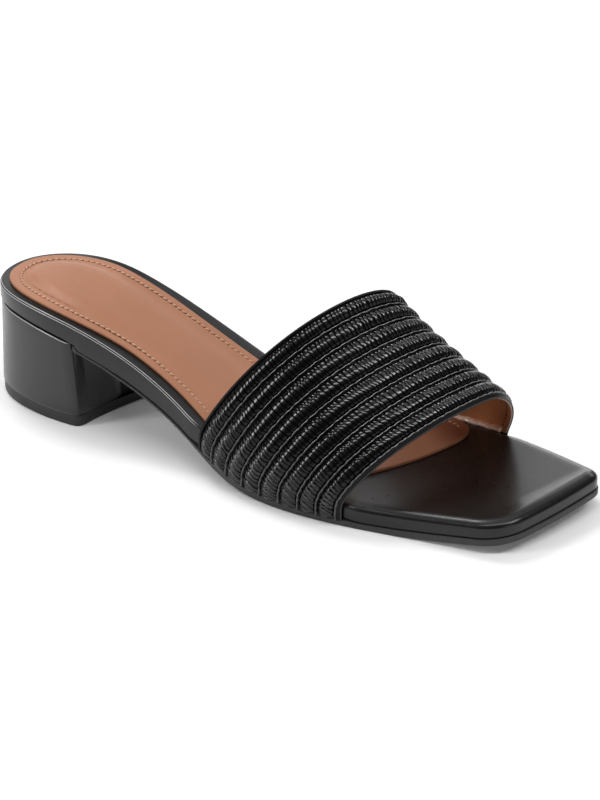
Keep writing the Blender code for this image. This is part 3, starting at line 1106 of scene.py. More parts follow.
@dataclass(frozen=True)
class Piping:
    """Half-round smooth piping, wider and rounder at its ends, with a painted highlight on its crest that is
    broken in places.
    """

    half_width: float = 0.36
    end_width: float = 0.14
    height: float = 1.25
    end_height: float = 0.05
    sunk: float = 0.8
    tip: float = 0.008
    tip_least: float = 0.1
    lateral_end: Ramp = Ramp(0.1, 0.14)
    medial_end: Ramp = Ramp(0.6, 0.15)
    crest_angle: float = 100.0
    crest_spread: float = 15.0
    end_highlight: float = 0.11
    wander: tuple[float, float] = (0.08, 0.06)
    wander_rate: tuple[float, float] = (260.0, 151.0)
    wear_and_highlight: float = 0.75
    highlight_spread: float = 0.6
    highlight_rate: tuple[float, float] = (330.0, 97.0)
    steps: int = 11

    def sections(self, share: Array, row: int) -> tuple[Array, Array]:
        """Half ellipses along one piping, which wander a little from side to side by two sines.

        A painted highlight is marked on the crest: all of it at the ends and a fine line in between.

        Args:
            share: shares along the piping.
            row: number of the piping, which sets its wander.

        Returns:
            tuple[Array, Array]: a loop of pairs for each share, and the marks.
        """
        turn = np.linspace(0, np.pi, self.steps)
        size = np.sqrt(np.clip(np.minimum(share, 1 - share) / self.tip, self.tip_least, 1))
        ends = 1 - self.lateral_end(share) + self.medial_end(share)
        half_width = (self.half_width + self.end_width * ends) * size
        first, second = (share * rate for rate in self.wander_rate)
        wave = self.wander[0] * np.sin(first + row) + self.wander[1] * np.sin(second + 2 * row)
        section = np.stack([
            half_width[:, None] * np.cos(turn) + wave[:, None],
            (self.height + self.end_height * ends[:, None]) * np.sin(turn) - self.sunk], axis=-1)
        first, second = (share * rate for rate in self.highlight_rate)
        # Painted highlight along the crest, broken in places.
        broken = self.wear_and_highlight + self.highlight_spread * np.sin(first + 2 * row) * np.sin(second + row)
        crest = np.exp(-((np.degrees(turn) - self.crest_angle) / self.crest_spread) ** 2)
        marks = ends[:, None] * self.end_highlight * np.sin(turn) + (1 - ends)[:, None] * crest
        return section, marks * np.clip(broken, 0, 1)[:, None]


@dataclass(frozen=True)
class Binding:
    """Binding over one edge of the band: its place, width, level, reach past the edge and fall to its lip."""

    at: float
    width: float
    level: float
    reach: float
    drop: float
    lip: float = 0.4
    foot: float = -1.3
    lip_steps: int = 9
    highlight_steps: tuple[int, ...] = (1, 2)

    def profile(self) -> Array:
        """Closed section: a half-round lip, a flat underside and a top that falls towards the lip.

        Returns:
            Array: pairs of reach past the edge and height over the strip level.
        """
        turn = np.linspace(np.pi / 2, -np.pi / 2, self.lip_steps)
        lip = np.column_stack([self.reach - self.lip + self.lip * np.cos(turn),
                               self.level - self.drop - self.lip + self.lip * np.sin(turn)])
        under = np.array([[-0.5, self.foot], [-self.width, self.foot], [-self.width, -0.5]])
        over = np.array([[0.1 - self.width, self.level - 0.2], [0.3 - self.width, self.level],
                         [-self.width * 0.55, self.level - 0.1 * self.drop],
                         [-0.1, self.level - 0.45 * self.drop]])
        return np.concatenate([lip, under, over])


FRONT_BINDING = Binding(at=1.0, width=0.9, level=0.05, reach=1.0, drop=0.8)
BACK_BINDING = Binding(at=0.0, width=1.1, level=0.0, reach=0.0, drop=0.1)


@dataclass
class VampBand:
    """Upper: a shell with padded, pleated ribs, pipings between them, bindings and a tan lining."""

    last: Last
    proud: float = 1.2
    rise: float = 6.5
    wall: float = 1.8
    core_top: float = -0.72
    core_foot: float = -1.2
    core_at: tuple[float, float] = (0.006, 1.0)
    lining_at: tuple[float, float] = (0.008, 1.004)
    lining_share: tuple[float, float] = (0.046, 0.954)
    lining_gap: float = 0.02
    lining_painted_light: Ramp = Ramp(0.66, 0.2)
    sheet_rows: int = 40
    sheet_columns: int = 160
    ease_reach: int = 9
    even_steps: int = 520
    piping_at: tuple[float, ...] = (0.122, 0.247, 0.374, 0.504, 0.635, 0.759, 0.872)
    back_margin: float = 0.014
    front_margin: float = 0.984
    rib_inset: float = 0.0072
    rib_base: float = -1.1
    rib_height: float = 2.2
    rib_power: float = 0.9
    rib_end: float = 3.2
    rib_steps: int = 19
    length_steps: int = 200
    pleats: Pleats = Pleats()
    pleat_samples: int = 12
    piping: Piping = Piping()
    arc_steps: int = 260
    roll_at: float = 1.006
    roll_level: float = -1.5
    roll_radius: float = 0.32
    roll_share: tuple[float, float] = (0.05, 0.95)
    roll_steps: int = 12
    seam_at: float = 0.97
    seam_share: tuple[float, float] = (0.06, 0.94)
    seam_stitches: int = 58
    seam_bead: tuple[float, float, float] = (1.3, 0.45, 0.3)
    fold_start: float = 3.0
    fold_stop: float = 1.5
    fold_inset: float = 1.5
    fold_lift: float = 0.25
    fold_width: float = 1.5
    fold_height: float = 1.1
    fold_wander: tuple[float, float] = (0.12, 0.08)
    fold_rate: tuple[float, float] = (0.9, 2.1)
    fold_samples: int = 160
    fold_steps: int = 16
    seed: int = 11

    def column(self, name: str, at: Array) -> Array:
        """Read one column of the band rows by the parabola through them.

        Args:
            name: the column.
            at: places from the back edge, 0, to the front edge, 1.

        Returns:
            Array: values there.
        """
        fit = np.polyfit([row.at for row in BAND_ROWS], [getattr(row, name) for row in BAND_ROWS], 2)
        return np.polyval(fit, at)

    def ease(self, rows: Array) -> Array:
        """Round the bends of each section by a running average that keeps both ends.

        Args:
            rows: sections by points by three, evenly spaced.

        Returns:
            Array: the eased sections.
        """
        reach, count = self.ease_reach, rows.shape[1]
        before = 2 * rows[:, :1] - rows[:, reach:0:-1]
        after = 2 * rows[:, -1:] - rows[:, -2:-reach - 2:-1]
        padded = np.concatenate([before, rows, after], axis=1)
        return sum(padded[:, k:k + count] for k in range(2 * reach + 1)) / (2 * reach + 1)

    @staticmethod
    def spread_evenly(rows: Array, share: Array) -> Array:
        """Points at shares of each section's length.

        Args:
            rows: sections by points by three.
            share: shares from 0 to 1.

        Returns:
            Array: sections by shares by three.
        """
        runs = [length_along(row) for row in rows]
        return np.stack([points_along(row, run, share * run[-1]) for row, run in zip(rows, runs)])

    def surface(self, at: Array, share: Array, samples: int = 400) -> Array:
        """Points of the band at strip level.

        Each section rises straight at its ends. Two quarter superellipses meet at the crown, and the
        section leans forward in step with its height. Bends are eased, and points are evenly spaced.

        Args:
            at: places from the back edge to the front edge.
            share: shares of the section's length from the lateral to the medial end.
            samples: points that each section is worked out with.

        Returns:
            Array: grid of points, places by shares.
        """
        at = np.atleast_1d(at)[:, None]
        lateral_x, medial_x = self.column("lateral_x", at), self.column("medial_x", at)
        height, crown = self.column("height", at) - self.rise, self.column("crown", at)
        near, far = 2 / self.column("lateral_power", at), 2 / self.column("medial_power", at)
        turn = np.linspace(0, np.pi / 2, samples)[None, :]
        down = turn[:, ::-1][:, 1:]
        nought = np.zeros_like(at)
        across = np.concatenate([
            nought, crown * (1 - np.cos(turn) ** near),
            crown + (1 - crown) * np.cos(down) ** far, nought + 1], axis=1)
        arch = np.concatenate([
            nought - self.rise, height * np.sin(turn) ** near,
            height * np.sin(down) ** far, nought - self.rise], axis=1)
        ends_y = -self.last.lateral(lateral_x) - self.proud, self.last.medial(medial_x) + self.proud
        ends_z = self.last.bottom(lateral_x), self.last.bottom(medial_x)
        lean = self.column("lean", at) * np.maximum(arch, 0) / height
        points = np.stack([
            lateral_x + (medial_x - lateral_x) * across + lean,
            ends_y[0] + (ends_y[1] - ends_y[0]) * across,
            ends_z[0] + (ends_z[1] - ends_z[0]) * across + arch + self.rise], axis=-1)
        eased = self.ease(self.ease(self.spread_evenly(points, np.linspace(0, 1, self.even_steps))))
        return self.spread_evenly(eased, share)

    def frames(self, at: Array, share: Array) -> tuple[Array, Array, Array]:
        """Points of the strip level with their forward and outward directions.

        Args:
            at: places from the back edge to the front edge.
            share: shares of the section's length.

        Returns:
            tuple[Array, Array, Array]: points, forward unit vectors and outward unit vectors.
        """
        nudge = 0.004
        points = self.surface(at, share)
        ahead = self.surface(np.asarray(at) + nudge, share) - self.surface(np.asarray(at) - nudge, share)
        along = unit(np.gradient(points, axis=1))
        forward = unit(ahead - along * np.sum(ahead * along, axis=-1, keepdims=True))
        return points, forward, np.cross(forward, along)

    def rib(self, number: int) -> Shape:
        """One padded rib with pleats across it.

        Its section is about half an ellipse that starts under the strip level.

        Args:
            number: rib from the back, counted from 0.

        Returns:
            Shape: the rib's sheet, with painted shade marked on its valleys and flanks.
        """
        random = np.random.default_rng(self.seed + number)
        bounds = np.array([self.back_margin, *self.piping_at, self.front_margin])
        start, stop = bounds[number] + self.rib_inset, bounds[number + 1] - self.rib_inset
        middle = self.surface(np.array([(start + stop) / 2]), np.linspace(0, 1, self.length_steps))[0]
        length = float(np.linalg.norm(np.diff(middle, axis=0), axis=1).sum())
        borders = self.pleats.borders(length, random)
        run = np.linspace(0, length, (len(borders) - 1) * self.pleat_samples + 1)
        turn = np.linspace(0, np.pi, self.rib_steps)[:, None]
        valley, shade = self.pleats.relief(borders, run, turn, random)
        inside = np.clip(np.minimum(run, length - run) / self.rib_end, 0, 1)
        padded = self.rib_height * np.sin(turn) ** self.rib_power * np.sqrt(1 - (1 - inside) ** 2)
        points, _, outward = self.frames(start + (stop - start) * across_rib(turn)[:, 0], run / length)
        smooth = points + outward * (self.rib_base + padded)[..., None]
        normal = unit(np.cross(np.gradient(smooth, axis=0), np.gradient(smooth, axis=1)))
        return sheet_shape(smooth - normal * valley[..., None], shade)

    def shell(self) -> Shape:
        """Smooth black core under the ribs.

        Returns:
            Shape: the closed shell.
        """
        at, share = np.linspace(*self.core_at, self.sheet_rows), np.linspace(0, 1, self.sheet_columns)
        points, _, outward = self.frames(at, share)
        return shell_shape(points + outward * self.core_top, points + outward * self.core_foot)

    def lining(self) -> Shape:
        """Tan lining inside the core, darker deep inside as painted shade, with its lighter front part marked
        as painted light.

        Returns:
            Shape: the closed shell.
        """
        at = np.linspace(*self.lining_at, self.sheet_rows)
        points, _, outward = self.frames(at, np.linspace(*self.lining_share, self.sheet_columns))
        outside = points + outward * (self.core_foot - self.lining_gap)
        shell = shell_shape(outside, points - outward * self.wall)
        # Painted light at the front of the lining, painted shade further in.
        front = np.broadcast_to(self.lining_painted_light(at)[:, None], points.shape[:2]).ravel()
        shell.marks = np.concatenate([front, front])
        return shell

    def edge_roll(self) -> Shape:
        """Thin roll along the lining's front edge, its pale tan lightened by a painted highlight.

        Returns:
            Shape: the closed roll, round in section.
        """
        share = np.linspace(*self.roll_share, self.arc_steps)
        points, forward, outward = self.frames(np.array([self.roll_at]), share)
        turn = np.linspace(0, 2 * np.pi, self.roll_steps + 1)[:-1]
        across, above = self.roll_radius * np.cos(turn), self.roll_level + self.roll_radius * np.sin(turn)
        return sweep_shape(points[0], forward[0], outward[0], np.column_stack([across, above]))

    def pipings(self) -> Shape:
        """Smooth pipings between the ribs and beside the front binding, joined in one shape.

        Returns:
            Shape: the closed pipings, with painted highlights marked on their crests.
        """
        share = np.linspace(0, 1, self.arc_steps * 2)
        places = np.array([*self.piping_at, self.front_margin])
        points, forward, outward = self.frames(places, share)
        tubes = [sweep_shape(points[row], forward[row], outward[row], *self.piping.sections(share, row))
                 for row in range(len(places))]
        return sum(tubes[1:], tubes[0])

    def bound(self, binding: Binding) -> Shape:
        """Carry a binding along its edge of the band.

        Args:
            binding: the edge's place and the binding's sizes.

        Returns:
            Shape: the closed binding, with a painted highlight marked on its lip.
        """
        share = np.linspace(0, 1, self.arc_steps * 2)
        points, forward, outward = self.frames(np.array([binding.at]), share)
        ahead = 1.0 if binding.at > 0.5 else -1.0
        profile = binding.profile()
        marks = np.zeros((len(share), len(profile)))
        # Painted highlight along the lip.
        marks[:, list(binding.highlight_steps)] = 1.0
        return sweep_shape(points[0], forward[0] * ahead, outward[0], profile, marks)

    def lining_seam(self) -> Shape:
        """Stitches along the lining's front edge.

        Returns:
            Shape: a bead for each stitch.
        """
        share = np.linspace(*self.seam_share, self.seam_stitches)
        points, forward, outward = self.frames(np.array([self.seam_at]), share)
        along = unit(np.gradient(points[0], axis=0))
        bead = bead_template(self.seam_bead)
        return scatter_shape(bead, points[0] - outward[0] * self.wall, along, forward[0], outward[0])

    def lining_fold(self, side: Side) -> Shape:
        """Roll of lining turned in where the band meets the footbed, its pale tan lightened by a painted
        highlight.

        Args:
            side: which side of the shoe.

        Returns:
            Shape: the closed roll.
        """
        back, front = BAND_ROWS[0], BAND_ROWS[-1]
        start, stop = back.lateral_x, front.lateral_x
        if side is Side.MEDIAL:
            start, stop = back.medial_x, front.medial_x
        x = np.linspace(start + self.fold_start, stop - self.fold_stop, self.fold_samples)
        edge = self.last.side_line(x, FOOTBED_PLAN, side) - side.value * self.fold_inset
        first, second = (size * np.sin(x * rate) for size, rate in zip(self.fold_wander, self.fold_rate))
        wave = first + second
        path = np.column_stack([x, edge + wave, self.last.top(x) + self.fold_lift + wave / 2])
        turn = np.linspace(0, 2 * np.pi, self.fold_steps + 1)[:-1]
        profile = np.column_stack([self.fold_width * np.cos(turn), self.fold_height * np.sin(turn)])
        along = unit(np.gradient(path, axis=0))
        aside = unit(np.cross(UPRIGHT, along))
        return sweep_shape(path, aside, np.cross(along, aside), profile)

    def build(self) -> None:
        """Make the band's pieces and dress them."""
        place("band_core", self.shell(), BINDING_BLACK, Slot.BAND, stands_for="vamp_band")
        for number in range(len(self.piping_at) + 1):
            rib = place(f"band_rib_{number + 1}", self.rib(number), PLEATED_BLACK, Slot.BAND, merge=False)
        place("band_pipings", self.pipings(), PIPING_BLACK, Slot.BAND)
        place("band_front_binding", self.bound(FRONT_BINDING), BINDING_BLACK, Slot.BAND)
        place("band_back_binding", self.bound(BACK_BINDING), BINDING_BLACK, Slot.BAND)
        place("band_lining", self.lining(), LINING_TAN, Slot.SOCK)
        place("band_lining_edge", self.edge_roll(), HIGHLIT_TAN, Slot.SOCK)
        place("band_lining_stitches", self.lining_seam(), NEEDLE_HOLE, Slot.SOCK)
        folds = self.lining_fold(Side.LATERAL) + self.lining_fold(Side.MEDIAL)
        place("band_lining_folds", folds, HIGHLIT_TAN, Slot.SOCK)


@dataclass
class Footbed:
    """Board wrapped in black leather, crisp along the heel and soft at the toe."""

    last: Last
    foot_round: float = 0.8
    soft_inset: float = 4.4
    soft_drop: float = 2.7
    soft: Ramp = Ramp(125.0, 50.0)
    lower_lip: float = 0.3
    lower_lip_drop: float = 0.98
    upper_lip: float = 0.36
    upper_lip_inset: float = 0.80
    lip_steps: int = 6
    highlight_steps: tuple[int, ...] = (3, 4, 12, 13)
    sheen: float = 0.11
    sheen_run: float = 24.0
    sheen_back: float = 12.0
    sheen_across: float = 0.6
    sheen_height: Ramp = Ramp(-1.2, 0.8)
    recess: float = 0.9
    recess_ramp: float = 3.0
    recess_margin: float = 2.0
    across: int = 30

    def band_recess(self, loop: Array) -> Array:
        """How far the wall steps in behind the band's ends, ramped at both edges of the band.

        Args:
            loop: points in plan.

        Returns:
            Array: step at each point.
        """
        back, front = BAND_ROWS[0], BAND_ROWS[-1]
        lateral = loop[:, 1] < 0
        start = np.where(lateral, back.lateral_x, back.medial_x) - self.recess_margin
        stop = np.where(lateral, front.lateral_x, front.medial_x) + self.recess_margin
        rise = np.clip((loop[:, 0] - start) / self.recess_ramp + 1, 0, 1)
        fall = np.clip((stop - loop[:, 0]) / self.recess_ramp + 1, 0, 1)
        return self.recess * np.minimum(rise, fall)

    def edge_profiles(self) -> tuple[Array, Array, Array]:
        """Top edge as pairs of inset and drop, for the heel's rim and for the toe.

        The rim has two small lips, the wrap's and the rim piece's, with a fine seam between. The toe has
        one quarter ellipse, like a cushion's edge.

        Returns:
            tuple[Array, Array, Array]: rim profile, toe profile and the painted highlight on the lips at each
                point.
        """
        turn = np.linspace(0, np.pi / 2, self.lip_steps)
        lower = np.column_stack([self.lower_lip - self.lower_lip * np.cos(turn),
                                 self.lower_lip_drop - self.lower_lip * np.sin(turn)])
        seam = np.array([[0.34, 0.76], [0.38, 0.86], [0.42, 0.72]])
        upper = np.column_stack([self.upper_lip_inset - self.upper_lip * np.cos(turn),
                                 self.upper_lip - self.upper_lip * np.sin(turn)])
        rim = np.concatenate([[[0.0, 1.6]], lower, seam, upper, [[1.2, 0.0], [2.4, 0.02]]])
        lip_highlights = np.zeros(len(rim))
        lip_highlights[list(self.highlight_steps)] = 1.0
        around = np.linspace(0, np.pi / 2, len(rim))
        toe = np.column_stack([self.soft_inset * (1 - np.cos(around)), self.soft_drop * (1 - np.sin(around))])
        return rim, toe, lip_highlights

    def wrap(self) -> Shape:
        """Closed wrap: round foot, wall, and a top edge that goes from double lip to soft round.

        Returns:
            Shape: the wrap, with painted highlights on its lips and the toe's painted sheen marked.
        """
        loop = close_chains(*self.last.chains(FOOTBED_PLAN))
        x = loop[:, 0]
        recess = self.band_recess(loop)
        soft = self.soft(x)
        bottom, top = self.last.bottom(x) - self.last.waist(loop), self.last.top(x)
        rings = round_foot(loop, recess, bottom, self.foot_round)
        marks = [np.zeros(len(loop)) for _ in rings]
        for rim, toe, lip in zip(*self.edge_profiles()):
            inset = recess + rim[0] * (1 - soft) + toe[0] * soft
            rings.append(raise_loop(inset_loop(loop, inset), top - rim[1] * (1 - soft) - toe[1] * soft))
            # Painted highlight on the rim's lips.
            marks.append(lip * (1 - soft) * (1 - np.clip(recess / self.recess, 0, 1)))
        wrap = ring_shape(np.stack(rings), self.across, marks=np.stack(marks))
        wrap.marks = np.maximum(wrap.marks, self.sheen_marks(wrap.points))
        return wrap

    def sheen_marks(self, points: Array) -> Array:
        """Faint lighter sheen on the toe's top, fading away from the band and from the lateral edge.

        Args:
            points: points of the wrap.

        Returns:
            Array: mark at each point.
        """
        front = BAND_ROWS[-1]
        edge = -self.last.lateral(front.lateral_x), self.last.medial(front.medial_x)
        across = (points[:, 1] - edge[0]) / (edge[1] - edge[0])
        ahead = points[:, 0] - front.lateral_x - (front.medial_x - front.lateral_x) * across
        lifted = self.sheen_height(points[:, 2] - self.last.top(points[:, 0]))
        fade = smoothstep(1 - ahead / self.sheen_run) * smoothstep(1 - across / self.sheen_across)
        return self.sheen * fade * lifted * (ahead > -self.sheen_back)

    def build(self) -> None:
        """Make the wrap and dress it."""
        place("footbed_wrap", self.wrap(), WRAP_BLACK, Slot.FOOTBED, stands_for="footbed")


@dataclass
class Sock:
    """Tan leather sock with sewn sides and soft padding inside the seam."""

    last: Last
    seat: float = 0.1
    thickness: float = 1.1
    edge_round: float = 0.6
    seam_inset: float = 3.9
    heel_inset: float = 0.9
    heel_inset_run: float = 16.0
    seam_depth: float = 0.35
    seam_width: float = 0.5
    seam_mark: float = 0.45
    seam_ends: float = 1.0
    border: float = 1.0
    border_past_seam: float = 2.4
    border_steps: int = 27
    edge_steps: int = 7
    pad_height: float = 0.6
    pad_run: float = 9.0
    pad_front_run: float = 45.0
    pad_stride: int = 3
    heel_pad: float = 1.1
    heel_pad_run: float = 5.0
    heel_pad_fade: Ramp = Ramp(8.0, 50.0)
    stitch_pitch: float = 2.4
    stitch: tuple[float, float, float] = (2.0, 0.85, 0.8)
    stitch_lift: float = 0.28
    stitch_slant: float = 0.3
    stitch_nudge: float = 0.6
    hole: tuple[float, float, float] = (0.9, 0.75, 0.34)
    hole_aside: float = 0.35
    hole_lift: float = 0.06
    hole_rows: int = 5
    corner_sewn: int = 13
    sewn_fade: int = 8
    across: int = 44

    def loop(self) -> Array:
        """Outline of the sock."""
        return close_chains(*self.last.chains(SOCK_PLAN))

    def side_count(self) -> int:
        """Points of each chain that lie on the side, before the front corner."""
        return self.last.heel_steps + self.last.side_steps + self.last.lead_steps - 1

    def sewn(self, count: int) -> Array:
        """Share of the seam round the loop: 1 along the sides, heel and inner corner, 0 along the front.

        Args:
            count: points round the loop.

        Returns:
            Array: share at each point.
        """
        index = np.arange(count)
        from_heel = np.minimum(index, count - index)
        length = self.side_count() + np.where(index > count / 2, self.corner_sewn, 0)
        return 1 - smoothstep((from_heel - length) / self.sewn_fade + 1)

    def seam_line(self, loop: Array) -> Array:
        """How far the seam lies inside the sock's edge, more round the heel."""
        ahead = smoothstep((loop[:, 0] - SOCK_PLAN.rim_heel) / self.heel_inset_run)
        return self.seam_inset + self.heel_inset * (1 - ahead)

    def pad(self, cap: Array) -> Array:
        """Extra height inside the seam, eased in by the distance from the sock's edge.

        Args:
            cap: points of the sock's top.

        Returns:
            Array: height to add.
        """
        thinned = cap[::self.pad_stride, :, :2]
        edge = np.concatenate([thinned[:, 0], thinned[:, -1]]).astype(np.float32)
        apart = cap[:, :, None, :2].astype(np.float32) - edge
        inside = np.sqrt((apart**2).sum(axis=-1).min(axis=-1))
        behind = cap[..., 0] - cap[:, :, 0].min()
        front = smoothstep((cap[:, :, 0].max() - cap[..., 0]) / self.pad_front_run)
        heel = self.heel_pad * (1 - self.heel_pad_fade(behind)) * smoothstep(inside / self.heel_pad_run)
        return self.pad_height * smoothstep(inside / self.pad_run) * front + heel

    def leather(self) -> Shape:
        """Closed sock: rounded edge, flat border, seam channel and padded middle.

        Returns:
            Shape: the sock, with its seam channel marked.
        """
        loop = self.loop()
        floor = self.last.top(loop[:, 0]) + self.seat
        sewn = self.sewn(len(loop))
        top = floor + self.thickness
        rings = [raise_loop(loop, floor)] + round_top(loop, 0.0, top, self.edge_round, self.edge_steps)
        marks = [np.zeros(len(loop)) for _ in rings]
        for inset in np.linspace(self.border, self.seam_inset + self.border_past_seam, self.border_steps):
            channel = np.exp(-((inset - self.seam_line(loop)) / self.seam_width) ** 2) * sewn
            rings.append(raise_loop(inset_loop(loop, inset), top - self.seam_depth * channel))
            marks.append(self.seam_mark * channel**2)
        return ring_shape(np.stack(rings), self.across, self.pad, np.stack(marks))

    def seam(self) -> tuple[Array, Array, Array, Array]:
        """Spot of each stitch along the seam, from the medial front round the heel to the lateral front.

        Returns:
            tuple[Array, Array, Array, Array]: spots and unit vectors along, aside and up.
        """
        loop = inset_loop(self.loop(), self.seam_line(self.loop()))
        side = self.side_count()
        path = np.concatenate([loop[-side - self.corner_sewn:], loop[:side]])
        path = raise_loop(path, self.last.top(path[:, 0]) + self.seat + self.thickness - self.seam_depth)
        run = length_along(path)
        spots = np.arange(self.seam_ends, run[-1] - self.seam_ends, self.stitch_pitch)
        nudges = (-self.stitch_nudge, 0.0, self.stitch_nudge)
        behind, centre, ahead = (points_along(path, run, spots + nudge) for nudge in nudges)
        along = unit(ahead - behind)
        aside = unit(np.cross(UPRIGHT, along))
        return centre, along, aside, np.cross(along, aside)

    def stitches(self) -> Shape:
        """Thread beads along the seam, each a little slanted.

        Returns:
            Shape: a bead for each stitch.
        """
        spots, along, aside, up = self.seam()
        slanted = unit(along + aside * self.stitch_slant)
        bead = bead_template(self.stitch)
        return scatter_shape(bead, spots + up * self.stitch_lift, slanted, np.cross(up, slanted), up)

    def holes(self) -> Shape:
        """Dark needle holes between the stitches, towards the sock's edge.

        Returns:
            Shape: a flat bead for each hole.
        """
        spots, along, aside, up = self.seam()
        bead = bead_template(self.hole, self.hole_rows)
        middle = spots + along * self.stitch_pitch / 2 - aside * self.hole_aside + up * self.hole_lift
        return scatter_shape(bead, middle, along, aside, up)

    def build(self) -> None:
        """Make the sock, its thread and its needle holes."""
        leather = place("sock", self.leather(), SOCK_TAN, Slot.SOCK, stands_for="insole_sock")
        place("sock_stitches", self.stitches(), TAN_THREAD, Slot.SOCK)
        place("sock_needle_holes", self.holes(), NEEDLE_HOLE, Slot.SOCK)


@dataclass
class HeelBreast:
    """Hollowed front face of the heel, in plan."""

    last: Last
    mid_x: float = 58.4
    slant: float = 0.26
    hollow: float = 2.8
    half_width: float = 27.0
    steps: int = 60
    rounds: int = 4

    def x_at(self, y: Array, lean: float) -> Array:
        """X of the breast: a slanted parabola, moved back by the lean."""
        return self.mid_x + self.slant * y - self.hollow * (1 - (y / self.half_width) ** 2) - lean

    def chain(self, lean: float) -> Array:
        """Points of the breast from its lateral to its medial corner, each corner found in a few rounds.

        Args:
            lean: how far the breast lies back.

        Returns:
            Array: points in plan.
        """
        ends = []
        for side in Side:
            y = side.value * self.half_width
            for _ in range(self.rounds):
                y = float(self.last.side_line(self.x_at(np.array(y), lean), FOOTBED_PLAN, side))
            ends.append(y)
        y = np.linspace(ends[0], ends[1], self.steps + 1)
        return np.column_stack([self.x_at(y, lean), y])


@dataclass
class Outsole:
    """Thin rubber sole from the heel's breast to the toe."""

    last: Last
    breast: HeelBreast
    lean: float = 2.2
    proud: float = 0.4
    proud_run: float = 3.0
    seat_gap: float = 0.05
    edge_round: float = 0.5
    top_round: float = 0.35
    top_inset: float = 1.5
    across: int = 16

    def sole(self) -> Shape:
        """Closed sole under the footbed, with rounded edges above and below.

        Returns:
            Shape: the sole.
        """
        breast = self.breast.chain(self.lean)
        last_x = float(breast[-1, 0])
        lateral, medial = self.last.chains(FOOTBED_PLAN, first_x=last_x)
        beside = breast[:-1, 0]
        start = np.column_stack([beside, self.last.side_line(beside, FOOTBED_PLAN, Side.LATERAL)])
        loop = close_chains(np.concatenate([start, lateral]), np.concatenate([breast[:-1], medial]))
        x = loop[:, 0]
        outward = self.proud * smoothstep((x - last_x) / self.proud_run)
        under, over = self.last.tread(x), self.last.bottom(x) - self.last.waist(loop) - self.seat_gap
        rings = round_foot(loop, -outward, under, self.edge_round)
        rings += round_top(loop, -outward, over, self.top_round)
        rings.append(raise_loop(inset_loop(loop, self.top_inset), over))
        return ring_shape(np.stack(rings), self.across)

    def build(self) -> None:
        """Make the sole and dress it."""
        place("outsole_rubber", self.sole(), OUTSOLE_RUBBER, Slot.OUTSOLE, stands_for="outsole")


